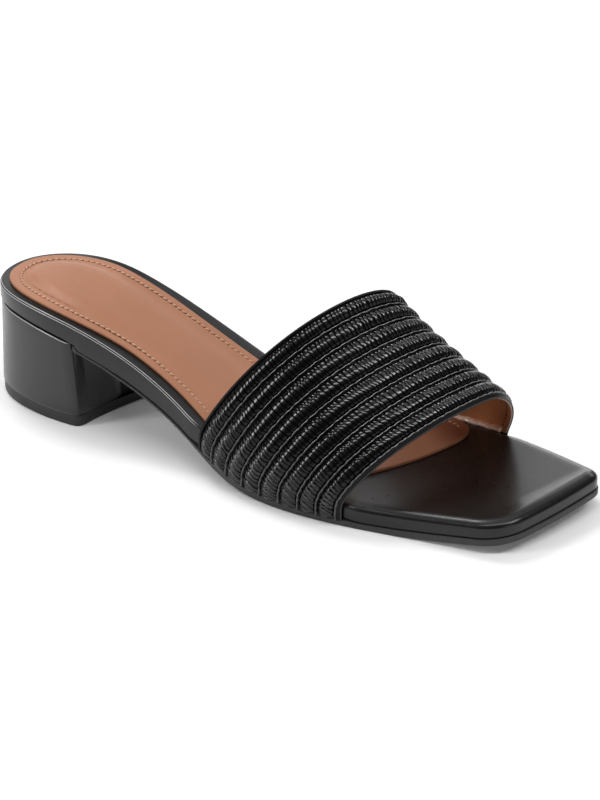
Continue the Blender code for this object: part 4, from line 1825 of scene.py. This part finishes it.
@dataclass
class Heel:
    """Wrapped block heel and its wearing piece."""

    last: Last
    breast: HeelBreast
    lean: float = 3.4
    inset: float = -0.25
    top_proud: float = 0.6
    back_inset: float = 0.55
    back_run: float = 18.0
    seat_gap: float = 0.25
    top_round: float = 0.6
    top_steps: int = 9
    foot_round: float = 0.35
    wall_share: tuple[float, float] = (0.1, 0.9)
    wall_steps: int = 9
    lift_height: float = 4.7
    lift_gap: float = 0.15
    lift_inset: float = 0.1
    lift_round: float = 0.5
    lift_top_round: float = 0.25
    corner_reach: int = 7
    corner_rounds: int = 2
    side_steps: int = 200
    loop_count: int = 520
    across: int = 12
    breast_from: Ramp = Ramp(45.0, 4.0)
    seam_y: float = -3.7
    seam_step: float = 0.5
    seam_step_run: float = 0.6
    seam_groove: float = 0.9
    seam_groove_width: float = 0.45
    corner_groove: float = 1.3
    corner_groove_width: float = 0.7
    corner_y: float = -23.9
    highlight_top_rings: tuple[int, ...] = (-6, -5, -4)
    highlight_foot_rings: tuple[int, ...] = (2, 3)
    highlight_foot: float = 0.3
    cover_from_seam: float = 0.4
    cover_stop_y: float = 22.0
    cover_foot: float = 0.4
    cover_drop: float = 0.9
    cover_proud: float = 0.35
    cover_thickness: float = 0.25
    cover_rows: int = 14
    cover_columns: int = 60

    def loop(self, lean: float) -> Array:
        """Plan of the heel: round back, two sides and the breast, with softened corners.

        Args:
            lean: how far the breast lies back.

        Returns:
            Array: evenly spaced points, from the heel's back round the lateral side.
        """
        breast = self.breast.chain(lean)
        turn = np.linspace(0, np.pi / 2, self.side_steps)
        lateral_x, medial_x = breast[0, 0] * (1 - np.cos(turn)), breast[-1, 0] * (1 - np.cos(turn))
        lateral = np.column_stack([lateral_x, self.last.side_line(lateral_x, FOOTBED_PLAN, Side.LATERAL)])
        medial = np.column_stack([medial_x, self.last.side_line(medial_x, FOOTBED_PLAN, Side.MEDIAL)])
        whole = np.concatenate([lateral, breast[1:], medial[-2::-1]])
        run = length_along(whole)
        even = np.linspace(0, run[-1], self.loop_count + 1)[:-1]
        return soften(points_along(whole, run, even), self.corner_reach, self.corner_rounds)

    def wrap(self) -> Shape:
        """Closed wrap: rounded edges, painted highlights marked on the top and foot edges, a leaning breast,
        its corner's fold and its seam.

        Returns:
            Shape: the heel's wrap.
        """
        low, high = self.loop(0.0), self.loop(self.lean)
        foot = self.lift_height + self.lift_gap
        seat = self.last.bottom(high[:, 0]) - self.seat_gap
        on_breast = self.breast_from(high[:, 0])
        beside = high[:, 1] - self.seam_y
        step = self.seam_step * smoothstep(beside / self.seam_step_run)
        groove = self.seam_groove * np.exp(-(beside / self.seam_groove_width) ** 2)
        fold = self.corner_groove * np.exp(-((high[:, 1] - self.corner_y) / self.corner_groove_width) ** 2)
        lap = (step + groove + fold) * on_breast
        behind = 1 - smoothstep(high[:, 0] / self.back_run)
        low_inset = self.inset + lap
        high_inset = self.back_inset * behind - self.top_proud * (1 - behind) + lap
        rings = round_foot(low, low_inset, foot, self.foot_round)
        for share in np.linspace(*self.wall_share, self.wall_steps):
            plan = low * (1 - share) + high * share
            level = foot + self.foot_round + (seat - self.top_round - foot - self.foot_round) * share
            rings.append(raise_loop(inset_loop(plan, low_inset * (1 - share) + high_inset * share), level))
        rings += round_top(high, high_inset, seat, self.top_round, self.top_steps)
        # Painted highlights on the top and foot edges, away from the breast.
        marks = np.zeros((len(rings), len(low)))
        marks[list(self.highlight_top_rings)] = 1 - on_breast
        marks[list(self.highlight_foot_rings)] = self.highlight_foot * (1 - on_breast)
        return ring_shape(np.stack(rings), self.across, marks=marks)

    def breast_shade_cover(self) -> Shape:
        """Thin cover of the breast beside its seam, parallel to the breast: a lapped piece, made darker than
        the heel as painted shade.

        Returns:
            Shape: the closed cover.
        """
        y = np.linspace(self.seam_y + self.cover_from_seam, self.cover_stop_y, self.cover_columns)
        share = np.linspace(0.0, 1.0, self.cover_rows)[:, None]
        x = self.breast.x_at(y, self.lean * share) + self.cover_proud * share
        foot = self.lift_height + self.cover_foot
        z = foot + (self.last.bottom(x) - self.cover_drop - foot) * share
        outside = np.stack([x, np.broadcast_to(y, x.shape), z], axis=-1)
        return shell_shape(outside, outside - np.array([self.cover_thickness, 0.0, 0.0]))

    def lift(self) -> Shape:
        """Closed wearing piece with rounded edges.

        Returns:
            Shape: the top lift.
        """
        loop = self.loop(0.0)
        rings = round_foot(loop, self.lift_inset, 0.0, self.lift_round)
        rings += round_top(loop, self.lift_inset, self.lift_height, self.lift_top_round)
        return ring_shape(np.stack(rings), self.across)

    def build(self) -> None:
        """Make the wrap, the breast's cover with its painted shade, and the wearing piece."""
        place("heel_wrap", self.wrap(), HEEL_BLACK, Slot.HEEL, stands_for="heel_block")
        # The breast cover's dark finish is painted shade.
        place("heel_breast_shade_cover", self.breast_shade_cover(), BINDING_BLACK, Slot.HEEL)
        place("top_lift", self.lift(), LIFT_RUBBER, Slot.LIFT, stands_for="heel_top_lift")


@dataclass(frozen=True)
class SoftBox:
    """Rectangular studio light aimed at the shoe."""

    name: str
    azimuth: float
    elevation: float
    distance: float
    width: float
    height: float
    power: float


@dataclass
class Studio:
    """Pale floor, soft light and the camera."""

    azimuth: float = 33.0
    elevation: float = 27.0
    distance: float = 1.3303
    lens: float = 157.57
    sensor: float = 36.0
    clip: tuple[float, float] = (0.05, 30.0)
    target: tuple[float, float, float] = (135.78, 0.0, 24.04)
    floor_size: float = 8.0
    floor_colour: Colour = (0.9, 0.9, 0.9)
    floor_roughness: float = 0.9
    floor_glow: float = 0.09
    world: float = 0.1
    boxes: tuple[SoftBox, ...] = (
        SoftBox("key_light", 104.0, 51.0, 1.5, 0.6, 0.3, 4.8),
        SoftBox("strip_light", 318.0, 26.0, 1.5, 0.3, 1.35, 9.0),
        SoftBox("arch_light", 36.0, 72.0, 1.5, 1.5, 0.22, 7.5),
        SoftBox("sky_light", 200.0, 72.0, 2.0, 1.6, 1.6, 6.0),
        SoftBox("edge_light", 248.0, 54.0, 0.8, 0.24, 0.24, 2.4),
        SoftBox("rear_light", 182.0, 31.0, 1.5, 1.0, 0.35, 2.6),
        SoftBox("backdrop", 216.0, 12.0, 2.0, 1.6, 0.65, 7.0),
        SoftBox("front_light", 75.0, 9.0, 1.5, 0.7, 0.35, 1.2),
    )

    @staticmethod
    def direction(azimuth: float, elevation: float) -> Vector:
        """Unit vector from the shoe towards a place round it, angles in degrees."""
        a, e = math.radians(azimuth), math.radians(elevation)
        return Vector((math.sin(a) * math.cos(e), -math.cos(a) * math.cos(e), math.sin(e)))

    def aim(self) -> Vector:
        """Point that the camera and the lights look at, in the frame."""
        return Vector((np.array(self.target) + FRAME_SHIFT) * MM)

    def place_eye(self, thing: bpy.types.Object, back: Vector, distance: float) -> None:
        """Set an object at a distance from the aim, looking at it.

        Args:
            thing: camera or light.
            back: unit vector from the aim to the object.
            distance: how far away it stands.
        """
        thing.location = self.aim() + back * distance
        thing.rotation_mode = "QUATERNION"
        thing.rotation_quaternion = (-back).to_track_quat("-Z", "Y")
        bpy.context.scene.collection.objects.link(thing)

    def camera(self) -> None:
        """Make the camera at the photographed angle."""
        data = bpy.data.cameras.new("camera")
        data.lens = self.lens
        data.sensor_width = self.sensor
        data.clip_start, data.clip_end = self.clip
        eye = bpy.data.objects.new("camera", data)
        self.place_eye(eye, self.direction(self.azimuth, self.elevation), self.distance)
        bpy.context.scene.camera = eye

    def lights(self) -> None:
        """Make the soft boxes and the even surrounding light."""
        for box in self.boxes:
            data = bpy.data.lights.new(box.name, "AREA")
            data.shape = "RECTANGLE"
            data.size, data.size_y = box.width, box.height
            data.energy = box.power
            lamp = bpy.data.objects.new(box.name, data)
            self.place_eye(lamp, self.direction(box.azimuth, box.elevation), box.distance)
        world = bpy.data.worlds.new("studio")
        world.use_nodes = True
        surround = world.node_tree.nodes["Background"]
        surround.inputs["Color"].default_value = WHITE
        surround.inputs["Strength"].default_value = self.world
        bpy.context.scene.world = world
        bpy.context.scene.view_settings.view_transform = "Standard"

    def floor(self) -> None:
        """Make the plain pale floor, a light table that fills the shadows."""
        half = self.floor_size / 2
        mesh = bpy.data.meshes.new("floor")
        mesh.from_pydata([(-half, -half, 0), (half, -half, 0), (half, half, 0), (-half, half, 0)], [],
                         [(0, 1, 2, 3)])
        finish = bpy.data.materials.new("floor_paper")
        finish.use_nodes = True
        shader = finish.node_tree.nodes["Principled BSDF"]
        shader.inputs["Base Color"].default_value = (*self.floor_colour, 1.0)
        shader.inputs["Roughness"].default_value = self.floor_roughness
        shader.inputs["Emission Color"].default_value = WHITE
        shader.inputs["Emission Strength"].default_value = self.floor_glow
        mesh.materials.append(finish)
        floor = bpy.data.objects.new("floor", mesh)
        bpy.context.scene.collection.objects.link(floor)

    def build(self) -> None:
        """Set up the studio."""
        self.camera()
        self.lights()
        self.floor()


def main() -> None:
    """Build the studio, then the shoe's sub-assemblies in order."""
    logging.basicConfig(level=logging.INFO, format="%(name)s %(message)s")
    last = Last()
    breast = HeelBreast(last)
    assemblies = (Studio(), Outsole(last, breast), Footbed(last), Sock(last), Heel(last, breast),
                  VampBand(last))
    for assembly in assemblies:
        assembly.build()


if __name__ == "__main__":
    main()
